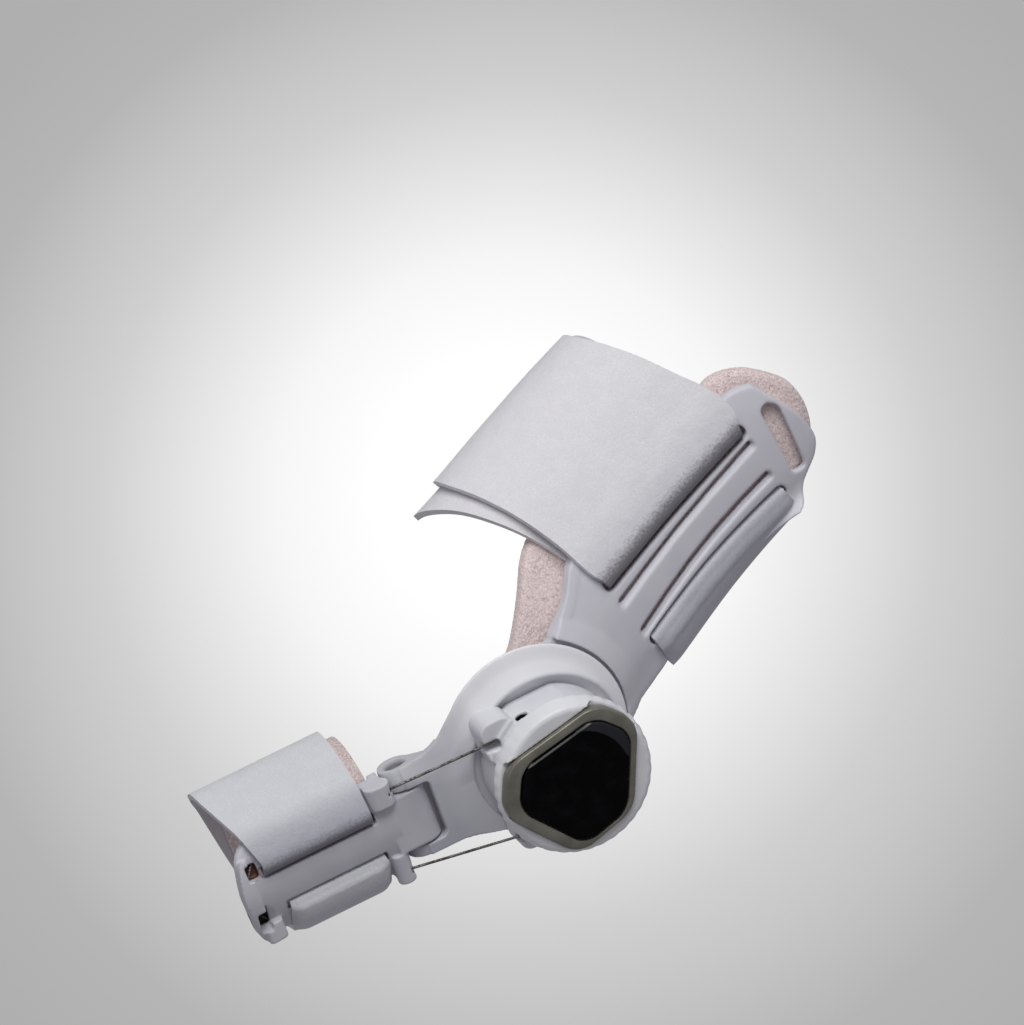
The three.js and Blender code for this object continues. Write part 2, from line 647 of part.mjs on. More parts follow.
function aroundToe(x, angle, radius) {
  return new THREE.Vector3(x, toeAxisDepth - radius * Math.cos(degrees(angle)), toeAxisZ + radius * Math.sin(degrees(angle)));
}

function toeSector(radiusFrom, radiusTo, angleFrom, angleTo) {
  const shape = new THREE.Shape();
  const from = degrees(angleFrom);
  const to = degrees(angleTo);
  shape.absarc(-toeAxisDepth, toeAxisZ, radiusTo, from, to, false);
  shape.absarc(-toeAxisDepth, toeAxisZ, radiusFrom, to, from, true);
  shape.closePath();
  return shape;
}

function toeLevel(angle) {
  return toeAxisZ + toePlateOuter * Math.sin(degrees(angle));
}

// Toe plate: a curved shell with a slot for the strap above and below, a raised front rim with two windows
// on the cable, a barrel in the fork, and a boss above and below for the cable
function toePlateOutline() {
  const top = toeLevel(toeUpperBar);
  const bottom = toeLevel(toeLowerRail);
  const noseTop = toeLevel(25);
  const noseBottom = toeLevel(-34);
  const shape = new THREE.Shape();
  shape.moveTo(toeRearX, top);
  shape.lineTo(toeRearX, bottom);
  shape.lineTo(toeSlotFrontX - 2.2, bottom);
  shape.quadraticCurveTo(toeFrontX + 2.5, bottom + 0.5, toeFrontX + 1.5, noseBottom + 2);
  shape.quadraticCurveTo(toeFrontX - 0.8, (noseTop + noseBottom) / 2, toeFrontX + 2, noseTop - 1);
  shape.quadraticCurveTo(toeFrontX + 4, top - 1, toeSlotFrontX - 1, top);
  shape.closePath();
  return shape;
}

const cableRadiusOnToe = toePlateInner + toePlateThickness / 2;
const cableLoopUp = 22;
const cableLoopDown = -33;
const cableLoopX = toeFrontX + 3.6;
const cableLoopSteps = 40;

function toeLoopPoints() {
  const { end } = cableLine(1);
  const lower = cableLine(-1).end;
  const straight = (x, angle) => aroundToe(x, angle, cableRadiusOnToe);
  return [
    end.clone().add(new THREE.Vector3(-gap - 0.2, 0, 0)),
    straight(cableEndX - 2.6, cableLoopUp + 2),
    straight(cableEndX - 6, cableLoopUp),
    straight(cableLoopX + 7, cableLoopUp),
    straight(cableLoopX + 1.2, 14),
    straight(cableLoopX, -5),
    straight(cableLoopX + 1.2, -25),
    straight(cableLoopX + 7, cableLoopDown),
    straight(cableEndX - 6, cableLoopDown),
    straight(cableEndX - 2.6, cableLoopDown - 2),
    lower.clone().add(new THREE.Vector3(-gap - 0.2, 0, 0)),
  ];
}

function toePlate() {
  const body = lengthwise(toeSector(toePlateInner, toePlateOuter, toeLowerRail - 4, toeUpperBar + 4), toeFrontX - 2, toeRearX, 10)
    .intersect(outward(toePlateOutline(), -toeAxisDepth, 6, 6));
  const rim = lengthwise(toeSector(toePlateInner, toePlateOuter + toeRimHeight, -44, 24), toeFrontX - 2, toeSlotFrontX - 1.8, 8)
    .intersect(outward(toePlateOutline(), -toeAxisDepth, 6, 6));
  const barrelTop = windowTop - runningGap;
  const barrelBottom = windowBottom + runningGap;
  const barrel = union(
    upright(eyeletRadius - 0.3, -forkLength, -hingeDepth, barrelBottom, barrelTop),
    box(liningRearX + gap, -forkLength, -hingeDepth - 2, toePlateOuter - toeAxisDepth - 0.2, barrelBottom, barrelTop),
  );
  const knuckle = (zFrom, zTo, w) => box(toeRearX - 4.3, toeRearX, -hingeDepth - 2, w + 2.2, zFrom, zTo)
    .subtract(upright(eyeletRadius + runningGap, -forkLength, -hingeDepth, zFrom - 1, zTo + 1));
  const toeSpace = lengthwise(toeSector(0.1, toePlateInner, -179.9, 179.9), toeFrontX - 3, liningRearX + gap, 24);
  const slots = union(
    box(toeSlotFrontX, toeSlotRearX, -toeAxisDepth, 9, toeLevel(toeUpperSlot - toeSlotAngle / 2), toeLevel(toeUpperSlot + toeSlotAngle / 2)),
    box(toeSlotFrontX + railInset, toeSlotRearX, -toeAxisDepth, 9, toeLevel(toeLowerSlot - toeSlotAngle / 2), toeLevel(toeLowerSlot + toeSlotAngle / 2)),
  );
  const windows = union(
    outward(slotShape(toeFrontX + 3.4, 1.5, toeFrontX + 5, 4, 2.4), -4, 6, 2),
    outward(slotShape(toeFrontX + 3.2, -10.5, toeFrontX + 5.4, -13.2, 2), -9, 6, 2),
  );
  const upperCable = cableLine(1);
  const lowerCable = cableLine(-1);
  const cableWay = union(
    straightTube(upperCable.start, upperCable.end, cableBoreRadius, 0, 1),
    straightTube(lowerCable.start, lowerCable.end, cableBoreRadius, 0, 1),
    tube(toeLoopPoints(), cableBoreRadius, cableLoopSteps),
  );
  const upperBoss = knuckle(windowTop, toeAxisZ + cableEnds.upper.rise + 2.4, cableEnds.upper.w);
  const lowerBoss = knuckle(toeAxisZ + cableEnds.lower.rise - 1.8, windowBottom, cableEnds.lower.w);
  return union(body, rim, barrel, upperBoss, lowerBoss)
    .subtract(toeSpace)
    .subtract(slots)
    .subtract(windows)
    .subtract(upright(toePinRadius + gap, -forkLength, -hingeDepth, armBottom - 1, armTop + 1))
    .subtract(cableWay);
}

// Toe lining: a plain soft sleeve round the toe
function toeLining() {
  return lengthwise(toeSector(toeRadius, toeRadius + liningThickness, -180, 179.99), toeFrontX + 9.5, liningRearX, 30);
}

// Toe strap: laid like the midfoot strap, with angles for turns
const toeInside = toeStrapThickness / 2;
const toeOutside = toePlateOuter + gap + toeStrapThickness / 2 - formRadius;
const toeBetween = (toePlateInner + toePlateOuter) / 2 - formRadius;
const toeDoubled = toeStrapThickness * 1.5 + gap;
const toeStrapRows = [
  { turn: -80, lift: toeInside, fore: -railInset },
  { turn: -60, lift: toeInside, fore: -railInset },
  { turn: -40, lift: toeInside, fore: -railInset },
  { turn: toeLowerSlot - 6.2, lift: toeInside, fore: -railInset },
  { turn: toeLowerSlot - 3, lift: toeInside, fore: -railInset },
  { turn: toeLowerSlot - 1.2, lift: toeInside + 0.65, fore: -railInset },
  { turn: toeLowerSlot - 0.2, lift: toeBetween, fore: -railInset },
  { turn: toeLowerSlot - 0.4, lift: toeOutside - 0.65, fore: -railInset },
  { turn: toeLowerSlot - 3, lift: toeOutside, fore: -railInset },
  { turn: toeLowerSlot - 6.2, lift: toeOutside, fore: -railInset },
  { turn: -38, lift: toeOutside, fore: -railInset },
  { turn: toeLowerRail - 5, lift: toeOutside - 0.2, fore: -railInset },
  { turn: -68, lift: toeDoubled + 0.3, fore: -railInset },
  { turn: -88, lift: toeInside + 1, fore: -2.6 },
  { turn: -110, lift: toeInside, fore: -1.6 },
  { turn: -140, lift: toeInside, fore: -0.5 },
  { turn: -175, lift: toeInside, fore: 1 },
  { turn: -210, lift: toeInside, fore: 3 },
  { turn: -240, lift: toeInside + 0.3, fore: 5 },
  { turn: -262, lift: toeDoubled, fore: 5.5 },
  { turn: -285, lift: toeDoubled, fore: 5 },
  { turn: -306, lift: toeDoubled + 0.5, fore: 3.5 },
  { turn: toeUpperBar + 4 - 360, lift: toeOutside - 0.1, fore: 2 },
  { turn: toeUpperBar - 8 - 360, lift: toeOutside, fore: 0.8 },
  { turn: toeUpperSlot + 6.2 - 360, lift: toeOutside, fore: 0 },
  { turn: toeUpperSlot + 3 - 360, lift: toeOutside, fore: 0 },
  { turn: toeUpperSlot + 0.2 - 360, lift: toeOutside - 0.65, fore: 0 },
  { turn: toeUpperSlot - 0.6 - 360, lift: toeBetween, fore: 0 },
  { turn: toeUpperSlot + 0.2 - 360, lift: toeInside + 0.65, fore: 0 },
  { turn: toeUpperSlot + 3 - 360, lift: toeInside, fore: 0 },
  { turn: toeUpperSlot + 6.2 - 360, lift: toeInside, fore: 0 },
  { turn: -330, lift: toeInside, fore: 0 },
  { turn: -300, lift: toeInside, fore: 0 },
  { turn: -272, lift: toeInside, fore: 0 },
];

function toeStrap() {
  const rear = toeSlotRearX - 0.8;
  const locate = (row, share) => aroundToe(lerp(rear - toeStrapWidth - row.fore, rear, share), row.turn, formRadius + row.lift);
  return ribbon(toeStrapRows, toeStrapThickness, locate, 3, 2);
}

// Cable: an upper and a lower run between the dial housing and the toe plate, and the loop inside the plate
function cableRun(side) {
  const { start, end } = cableLine(side);
  return straightTube(start, end, cableRadius, 0, 0);
}

function cableLoop() {
  return tube(toeLoopPoints(), cableRadius, cableLoopSteps);
}

// Assembly
const footSide = new THREE.Group();
footSide.rotation.y = -degrees(flexAngle);
footSide.add(
  mesh("foot_plate", footPlate(), materials.plate),
  mesh("foot_pad", footPad(), materials.lining),
  mesh("foot_strap", footStrap(), materials.strap),
);

const whole = new THREE.Group();
whole.add(
  footSide,
  mesh("pivot_rivet", pivotRivet(), materials.pin),
  mesh("hinge_link", hingeLink(), materials.link),
  mesh("dial_housing", dialHousing(), materials.dial),
  mesh("dial_ring", dialRing(), materials.dial),
  mesh("dial_bezel", dialBezel(), materials.bezel),
  mesh("dial_insert", dialInsert(), materials.insert),
  mesh("toe_pin", toePin(), materials.pin),
  mesh("toe_plate", toePlate(), materials.toePlate),
  mesh("toe_lining", toeLining(), materials.lining),
  mesh("toe_strap", toeStrap(), materials.strap),
  mesh("cable_upper", cableRun(1), materials.cable),
  mesh("cable_lower", cableRun(-1), materials.cable),
  mesh("cable_loop", cableLoop(), materials.cable),
);

// The origin is the middle of the midfoot hollow, under the middle of the strap
const hollowA = slotHeel - slotLength / 2 - 2;
const hollow = new THREE.Vector3(hollowA, formDepth + station(hollowA).away * plateLength + footWidth / 2, (footCrest - footSole) / 2);
hollow.applyAxisAngle(new THREE.Vector3(0, 1, 0), -degrees(flexAngle));
whole.position.copy(hollow).negate();

export default whole;
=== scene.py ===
import math

import bmesh
import bpy
import numpy as np
from mathutils import Matrix, Vector


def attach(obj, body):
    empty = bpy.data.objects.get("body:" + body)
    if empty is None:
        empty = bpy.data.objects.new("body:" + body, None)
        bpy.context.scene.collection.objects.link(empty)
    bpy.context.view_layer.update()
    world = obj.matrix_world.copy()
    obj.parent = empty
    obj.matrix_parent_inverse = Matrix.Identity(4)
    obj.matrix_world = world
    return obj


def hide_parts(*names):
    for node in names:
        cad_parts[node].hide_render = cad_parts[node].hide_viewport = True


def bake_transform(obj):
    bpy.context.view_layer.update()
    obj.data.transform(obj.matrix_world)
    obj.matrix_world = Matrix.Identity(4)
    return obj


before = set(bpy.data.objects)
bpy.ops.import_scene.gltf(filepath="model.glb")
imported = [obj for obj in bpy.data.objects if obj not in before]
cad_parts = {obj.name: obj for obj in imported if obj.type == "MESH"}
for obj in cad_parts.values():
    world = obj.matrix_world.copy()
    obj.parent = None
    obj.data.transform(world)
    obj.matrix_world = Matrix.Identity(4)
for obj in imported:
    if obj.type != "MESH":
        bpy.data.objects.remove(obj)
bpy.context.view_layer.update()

scene = bpy.context.scene

# Camera
# A long lens four metres off looks down on the inner side of the foot, so the sides of the corrector stay
# nearly parallel. It is aimed from the middle of the link's disc, where every measure below starts.
disc_middle = Vector((-0.052957, -0.059466, -0.029561))
view_right = Vector((0.883, -0.343, -0.320)).normalized()
view_up = Vector((0.430, 0.319, 0.844)).normalized()
view_back = view_right.cross(view_up)
view_distance = 4.0
pixels_per_metre = 4200
picture_pixels = 1024
sensor_width = 36
aim = disc_middle - view_right * 0.00667 + view_up * 0.0542
camera_data = bpy.data.cameras.new("camera")
camera_data.sensor_width = sensor_width
camera_data.sensor_fit = "HORIZONTAL"
camera_data.lens = view_distance * pixels_per_metre * sensor_width / picture_pixels
camera_data.clip_end = 60
camera = bpy.data.objects.new("camera", camera_data)
camera.matrix_world = Matrix.Translation(aim + view_back * view_distance) @ Matrix(
    (view_right, view_up, view_back)).transposed().to_4x4()
scene.collection.objects.link(camera)
scene.camera = camera
scene.view_settings.view_transform = "Standard"


# Floor and studio light
# A pale floor well below the corrector that glows with a painted pool of light falling off to grey, one broad
# lamp overhead, a weak one from the toe's side, and an even grey room.
class Amount:
    """A number that changes over a surface. Sums on it add their Math nodes."""

    def __init__(self, finish, node, output):
        self.finish = finish
        self.node = node
        self.socket = node.outputs[output]

    def out(self, output):
        """The same node's amount at another output."""
        return Amount(self.finish, self.node, output)

    def math(self, operation, *terms):
        return self.finish.node("ShaderNodeMath", {"operation": operation}, dict(enumerate(terms)))

    def __add__(self, other):
        return self.math("ADD", self, other)

    def __sub__(self, other):
        return self.math("SUBTRACT", self, other)

    def __rsub__(self, other):
        return self.math("SUBTRACT", other, self)

    def __mul__(self, other):
        return self.math("MULTIPLY", self, other)

    def __truediv__(self, other):
        return self.math("DIVIDE", self, other)

    def __abs__(self):
        return self.math("ABSOLUTE", self)

    __radd__ = __add__
    __rmul__ = __mul__

    def held(self, low, high):
        """Spread between low and high, from 0 to 1 and no further."""
        return self.finish.node("ShaderNodeMapRange", {"clamp": True}, {
            "Value": self, "From Min": low, "From Max": high})


class Finish:
    """One material, written as a surface shader and the nodes that feed it."""

    def __init__(self, name, roughness, specular=0.5, sheen=0.0, metallic=0.0):
        self.material = bpy.data.materials.new(name)
        self.material.use_nodes = True
        self.tree = self.material.node_tree
        self.surface = self.tree.nodes["Principled BSDF"]
        for socket, value in (("Roughness", roughness), ("Specular IOR Level", specular),
                              ("Sheen Weight", sheen), ("Metallic", metallic)):
            self.feed(socket, value)

    def fill(self, socket, value):
        """A socket linked to an amount, or set to a plain value."""
        if isinstance(value, Amount):
            self.tree.links.new(value.socket, socket)
        elif socket.type == "RGBA" and len(value) == 3:
            socket.default_value = (*value, 1)
        else:
            socket.default_value = value

    def node(self, kind, settings=None, sockets=None, output=0):
        node = self.tree.nodes.new(kind)
        for key, value in (settings or {}).items():
            if key == "stops":
                ramp = node.color_ramp.elements
                while len(ramp) < len(value):
                    ramp.new(0.5)
                for stop, (place, colour) in zip(ramp, value):
                    stop.position = place
                    stop.color = (*colour, 1)
            else:
                setattr(node, key, value)
        for key, value in (sockets or {}).items():
            self.fill(node.inputs[key], value)
        return Amount(self, node, output)

    def place(self):
        return self.node("ShaderNodeTexCoord", output="Object")

    def vector(self, operation, *terms):
        """Arithmetic on places and directions. Distances, lengths and dot products come out as a number."""
        output = 1 if operation in ("DISTANCE", "LENGTH", "DOT_PRODUCT") else 0
        return self.node("ShaderNodeVectorMath", {"operation": operation}, dict(enumerate(terms)), output)

    def distance(self, place):
        """How far off a place of the frame is, in metres."""
        return self.vector("DISTANCE", self.place(), place)

    def grain(self, size, detail=3.0, roughness=0.55, place=None):
        """Cloudy noise whose lumps are about this many metres across."""
        return self.node("ShaderNodeTexNoise", {}, {
            "Vector": place or self.place(), "Scale": 1 / size, "Detail": detail, "Roughness": roughness})

    def blend(self, share, first, second):
        """Two colours mixed by a share."""
        return self.node("ShaderNodeMix", {"data_type": "RGBA"}, {0: share, 6: first, 7: second}, 2)

    def feed(self, socket, value):
        self.fill(self.surface.inputs[socket], value)

    def relief(self, height, depth, under=None):
        """A bump this many metres deep over an earlier one."""
        sockets = {"Height": height, "Distance": depth, "Strength": 1.0}
        if under is not None:
            sockets["Normal"] = under
        return self.node("ShaderNodeBump", {}, sockets)


def srgb(red, green, blue):
    """A colour named by its 0 to 255 screen values."""
    def linear(value):
        share = value / 255
        return share / 12.92 if share <= 0.04045 else ((share + 0.055) / 1.055) ** 2.4
    return (linear(red), linear(green), linear(blue))


def new_object(name, shape):
    """A shape made an object of the scene."""
    thing = bpy.data.objects.new(name, bpy.data.meshes.new(name))
    shape.to_mesh(thing.data)
    shape.free()
    scene.collection.objects.link(thing)
    return thing


floor_level = -0.45
pool_middle = aim + view_up * 0.0076
drop = (pool_middle.z - floor_level) / view_back.z
pool_on_floor = pool_middle - view_back * drop
floor_finish = Finish("floor_painted_light_pool", 0.9, specular=0.0)
from_pool = floor_finish.vector("SUBTRACT", floor_finish.place(), pool_on_floor)
pool_pixels = 700
pool_reach = pool_pixels * (view_distance + drop) / pixels_per_metre / view_distance
off_deep = floor_finish.vector("DOT_PRODUCT", from_pool, view_up) / pool_reach
off_side = floor_finish.vector("DOT_PRODUCT", from_pool, view_right) / pool_reach
away = off_side.math("SQRT", off_side * off_side + off_deep * off_deep)
# Painted light: the floor's glow is brightest round the pool's middle and falls off to grey away from it
pool_greys = ((0.0, 255), (0.2, 255), (0.34, 246), (0.6, 208), (0.71, 197), (0.84, 181), (1.0, 175))
pool = floor_finish.node("ShaderNodeValToRGB", {
    "stops": [(place, srgb(grey, grey, grey)) for place, grey in pool_greys]}, {"Fac": away})
floor_finish.feed("Base Color", (0, 0, 0))
floor_finish.feed("Emission Strength", 1.0)
floor_finish.feed("Emission Color", pool)
floor_mesh = bmesh.new()
bmesh.ops.create_grid(floor_mesh, x_segments=1, y_segments=1, size=9)
bmesh.ops.translate(floor_mesh, verts=floor_mesh.verts, vec=(0, 0, floor_level))
floor = new_object("floor", floor_mesh)
floor.data.materials.append(floor_finish.material)
floor.visible_diffuse = False
floor.visible_glossy = False


def lamp(name, place, size, watts, colour):
    data = bpy.data.lights.new(name, "AREA")
    data.shape = "SQUARE"
    data.size = size
    data.energy = watts
    data.color = colour
    thing = bpy.data.objects.new(name, data)
    thing.matrix_world = Matrix.Translation(place) @ place.to_track_quat("Z", "Y").to_matrix().to_4x4()
    scene.collection.objects.link(thing)


lamp("overhead_lamp", Vector((0.15, -0.62, 1.6)), 1.0, 19.5, (1.0, 1.0, 0.995))
lamp("side_lamp", Vector((-1.2, -0.4, 1.2)), 0.8, 1.5, (1.0, 1.0, 1.0))
room = bpy.data.worlds.new("room")
room.use_nodes = True
room_light = room.node_tree.nodes["Background"]
room_light.inputs["Color"].default_value = (*srgb(141, 140, 144), 1)
room_light.inputs["Strength"].default_value = 1.0
scene.world = room


# Hinge link
# One satin moulding of light grey plastic: a disc that lies over the foot plate, sunk in a ring round the
# dial's housing, and a fork with two deep arms whose round ends are bored for the toe hinge's pin.
def outward(shape):
    """The shape with its faces turned outward."""
    bmesh.ops.recalc_face_normals(shape, faces=shape.faces)
    return shape


def flat_slab(corners, w_from, w_to, steps=6):
    """A slab between two distances outward from the disc. Each corner is x, z and how far it is rounded."""
    slab = bmesh.new()
    ring = [slab.verts.new((x, -w_from, z)) for x, z, _ in corners]
    slab.faces.new(ring)
    for vertex, (_, _, rounding) in zip(list(ring), corners):
        if rounding:
            bmesh.ops.bevel(slab, geom=[vertex], offset=rounding, offset_type="OFFSET", segments=steps,
                            profile=0.5, affect="VERTICES", material=-1)
    pulled = bmesh.ops.extrude_face_region(slab, geom=slab.faces[:])
    moved = [item for item in pulled["geom"] if isinstance(item, bmesh.types.BMVert)]
    bmesh.ops.translate(slab, verts=moved, vec=(0, w_from - w_to, 0))
    return outward(slab)


def round_bar(radius, start, end, facets=48, end_radius=None):
    """A round bar between two points."""
    bar = bmesh.new()
    start, end = Vector(start), Vector(end)
    along = end - start
    bmesh.ops.create_cone(bar, cap_ends=True, segments=facets, radius1=radius,
                          radius2=radius if end_radius is None else end_radius, depth=along.length)
    bmesh.ops.transform(bar, verts=bar.verts, matrix=Matrix.Translation((start + end) / 2)
                        @ along.to_track_quat("Z", "Y").to_matrix().to_4x4())
    return bar


def drum(radius, x, z, w_from, w_to, facets=96, end_radius=None):
    return round_bar(radius, (x, -w_from, z), (x, -w_to, z), facets, end_radius)


def level_slab(corners, z_from, z_to):
    """A slab between two heights. Each corner is x, w and how far it is rounded."""
    slab = flat_slab(corners, 0, z_to - z_from)
    bmesh.ops.transform(slab, verts=slab.verts, matrix=Matrix.Translation((0, 0, z_to))
                        @ Matrix.Rotation(math.radians(90), 4, "X"))
    return outward(slab)


def post(radius, z_from, z_to, facets=40):
    """An upright bar on the toe hinge's axis."""
    return round_bar(radius, (hinge_x, -hinge_w, z_from), (hinge_x, -hinge_w, z_to), facets)


def block(x_from, x_to, w_from, w_to, z_from, z_to):
    cube = bmesh.new()
    bmesh.ops.create_cube(cube, size=1)
    bmesh.ops.scale(cube, verts=cube.verts, vec=(x_to - x_from, w_to - w_from, z_to - z_from))
    bmesh.ops.translate(cube, verts=cube.verts, vec=(
        (x_from + x_to) / 2, -(w_from + w_to) / 2, (z_from + z_to) / 2))
    return cube


def loose_object(name, solids):
    """Solids put together in one object, and set free."""
    together = bmesh.new()
    for solid in solids:
        step = bpy.data.meshes.new("step")
        solid.to_mesh(step)
        together.from_mesh(step)
        bpy.data.meshes.remove(step)
        solid.free()
    return new_object(name, together)


def modify(thing, kind, **settings):
    """One more modifier on the object."""
    step = thing.modifiers.new(kind.lower(), kind)
    for key, value in settings.items():
        setattr(step, key, value)


def settled(thing):
    """The object with its modifiers worked into its mesh."""
    done = bpy.data.meshes.new_from_object(thing.evaluated_get(bpy.context.evaluated_depsgraph_get()))
    name = thing.name
    drop_object(thing)
    done.name = name
    fresh = bpy.data.objects.new(name, done)
    scene.collection.objects.link(fresh)
    return fresh


def drop_object(thing):
    data = thing.data
    bpy.data.objects.remove(thing)
    bpy.data.meshes.remove(data)


def carved(solids, tools, operation="DIFFERENCE"):
    """Solids cut by tools, or kept only inside them."""
    blank = loose_object("blank", solids)
    tool = loose_object("tool", tools)
    modify(blank, "BOOLEAN", operation=operation, solver="EXACT", use_self=True, object=tool)
    done = settled(blank)
    drop_object(tool)
    result = bmesh.new()
    result.from_mesh(done.data)
    drop_object(done)
    return result


def moulded(name, solids, grain, softening):
    """Solids melted into one body with soft edges."""
    blank = loose_object(name, solids)
    modify(blank, "REMESH", mode="VOXEL", voxel_size=grain)
    modify(blank, "SMOOTH", factor=0.5, iterations=softening)
    return settled(blank)


def corners_of(thing):
    """The object's points as an array of millimetres."""
    flat = np.empty(len(thing.data.vertices) * 3)
    thing.data.vertices.foreach_get("co", flat)
    return flat.reshape(-1, 3)


def on_link(place):
    """A place in millimetres from the disc's middle, in the frame in metres."""
    return disc_middle + Vector(place) * 0.001


def move_corners(thing, places):
    """The object's points put at places of the frame, and its faces shaded smooth."""
    thing.data.vertices.foreach_set("co", places.ravel())
    thing.data.polygons.foreach_set("use_smooth", [True] * len(thing.data.polygons))
    thing.data.update()


def put_on_link(thing, points=None):
    """Points in millimetres from the disc's middle, put in the frame in metres."""
    points = corners_of(thing) if points is None else points
    move_corners(thing, points * 0.001 + np.array(disc_middle))


def dress(thing, finish, body, nodes):
    """The piece given its material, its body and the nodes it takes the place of."""
    thing.data.materials.clear()
    thing.data.materials.append(finish.material)
    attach(thing, body)
    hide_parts(*nodes)


def satin_plastic(name, roughness, light=None, shade=None):
    """Moulded plastic: fine surface grain and a few handling marks, and it may drift between two tones."""
    finish = Finish(name, roughness, specular=0.3)
    marks = finish.grain(0.0011, 5.0, 0.7)
    finish.feed("Roughness", roughness - 0.07 + 0.14 * marks)
    fine = finish.relief(finish.grain(0.00035, 3.0, 0.6), 0.000012)
    finish.feed("Normal", finish.relief(finish.grain(0.006, 2.0), 0.00010, fine))
    if light:
        finish.feed("Base Color", finish.blend(clouds(finish), light, shade))
    return finish


def clouds(finish):
    """Broad soft patches, from 0 to 1."""
    return finish.grain(0.012, 2.0).held(0.3, 0.7)


disc_radius = 23.4
link_thickness = 2.5
hinge_x = -34
hinge_w = -5
arm_top, window_top, window_bottom, arm_bottom = 8.5, 3.2, -12.1, -15
window_x = -28.5
dial_x, dial_z = 1.4, -3.9
pin_bore = 1.9
rivet_bore = 5.3
eyelet_radius = 4.5
fork_outline = (
    (hinge_x, arm_top, 0), (-24.4, 9.5, 3), (-14.04, 18.72, 3), (0, 18.72, 0), (0, -17.55, 0),
    (-14.04, -18.25, 3), (-24.4, arm_bottom, 3), (hinge_x, arm_bottom, 0))
arm_outline = (
    (hinge_x, 0, 0), (-17, 0, 0), (-17, -2.4, 0), (-23, -3.2, 3), (-28.5, -7.2, 4), (hinge_x, -9.2, 1))
link_solids = [
    drum(disc_radius, 0, 0, -link_thickness, 0, 128), flat_slab(fork_outline, -link_thickness, 0),
    level_slab(arm_outline, window_top, arm_top), level_slab(arm_outline, arm_bottom, window_bottom),
    block(window_x + 0.2, -26.3, -7.5, -1, window_bottom - 1, window_top + 1),
    post(eyelet_radius, window_top, arm_top), post(eyelet_radius, arm_bottom, window_bottom)]
link_cuts = [
    flat_slab(((-40, window_bottom, 0), (window_x, window_bottom, 1.6), (window_x, window_top, 1.0),
               (-40, window_top, 0)), -link_thickness - 1, 1),
    post(pin_bore, arm_bottom - 1, arm_top + 1),
    round_bar(pin_bore, (hinge_x, -hinge_w, arm_top - 2.2), (hinge_x, -hinge_w, arm_top + 0.3), 40, 3.1),
    drum(19.2, dial_x, dial_z, -1.2, 1, 128), drum(rivet_bore, 0, 0, -link_thickness - 1, 1)]
link = moulded("hinge_link_moulding", [carved(link_solids, link_cuts)], 0.34, 4)
# The disc's rim and the fork's upper edge slope back, and a soft crest runs round the sunk ring
points = corners_of(link)
x, y, z = points.T
top_edge = np.maximum(np.interp(x, (-38.5, -34, -26, -21, -17, -14), (8.5, 8.5, 9.4, 12.1, 16.3, 18.5)),
                      np.sqrt(np.clip(disc_radius ** 2 - x ** 2, 0, None)))
from_rim = disc_radius - np.hypot(x, z)
from_edge = np.where((x < -6) & (z > -6), np.maximum(from_rim, (top_edge - z) * 0.9), from_rim)
from_edge = np.where((x < -6) & (z <= -6), 9, from_edge)
band = np.interp(x, (-34, -24, -10, 0), (3.2, 5.0, 8.2, 8.2))
sunk = 2.0 * np.clip(1 - from_edge / band, 0, 1) ** 1.5
points[:, 1] += sunk * np.clip(1 - y / np.where(x < -23, 6.0, 2.9), 0, 1)
from_dial = np.hypot(x - dial_x, z - dial_z)
crest = np.clip(1 - np.abs(from_dial - 20.2) / 5.0, 0, 1) * np.clip((from_dial - 19.0) / 0.4, 0, 1)
crest = crest ** 1.2 * np.clip((z + 2) / 9, 0, 1) * np.clip((from_edge - 0.8) / 3.5, 0, 1)
points[:, 1] -= 1.7 * crest * np.clip(1 - y / 1.6, 0, 1)
put_on_link(link, points)
# Painted light and shade: the disc lighter, the fork darker, most so low down and along its upper edge, and
# the eyelet's bore dark as its shadow
link_grey = satin_plastic("link_grey", 0.4)
link_place = link_grey.node("ShaderNodeSeparateXYZ", {}, {0: link_grey.place()})
level = link_place.out(2)
fork_shade = (disc_middle.x - 0.012 - link_place).held(0, 0.014)
low_shade = (disc_middle.z + 0.002 - level).held(0, 0.014)
upper_edge_shade = (level - disc_middle.z - 0.004).held(0, 0.004)
eyelet_top = on_link((hinge_x, -hinge_w, arm_top))
# Painted shadow inside the eyelet's bore, below its top
near_eyelet = (0.0031 - link_grey.distance(eyelet_top)).held(0, 0.0005)
in_bore = near_eyelet * (eyelet_top.z - 0.0004 - level).held(0, 0.0008)
link_tone_and_shade = link_grey.blend(fork_shade, srgb(241, 241, 244), srgb(210, 210, 216))
for share, tone in ((fork_shade * low_shade * 0.8, srgb(178, 178, 187)),
                    (fork_shade * upper_edge_shade * 0.7, srgb(180, 180, 186)),
                    (in_bore * 0.8, srgb(92, 90, 90)), (clouds(link_grey) * 0.08, srgb(170, 170, 180))):
    link_tone_and_shade = link_grey.blend(share, link_tone_and_shade, tone)
link_grey.feed("Base Color", link_tone_and_shade)
dress(link, link_grey, "link", ["hinge_link"])


# Toe hinge pin and pivot rivet
# Plain turned pins of a grey plastic. One runs down through the fork's eyelets and the toe plate, the other
# holds the foot plate behind the disc. Both keep the shapes of the frame.
# The pins' grey is painted darker than their own, as the shade inside the eyelets
pin_grey_and_shade = satin_plastic("pin_grey_and_shade", 0.38, srgb(104, 104, 110), srgb(92, 92, 98))
for name in ("toe_pin", "pivot_rivet"):
    node = bpy.data.objects[name]
    node.data.materials.clear()
    node.data.materials.append(pin_grey_and_shade.material)


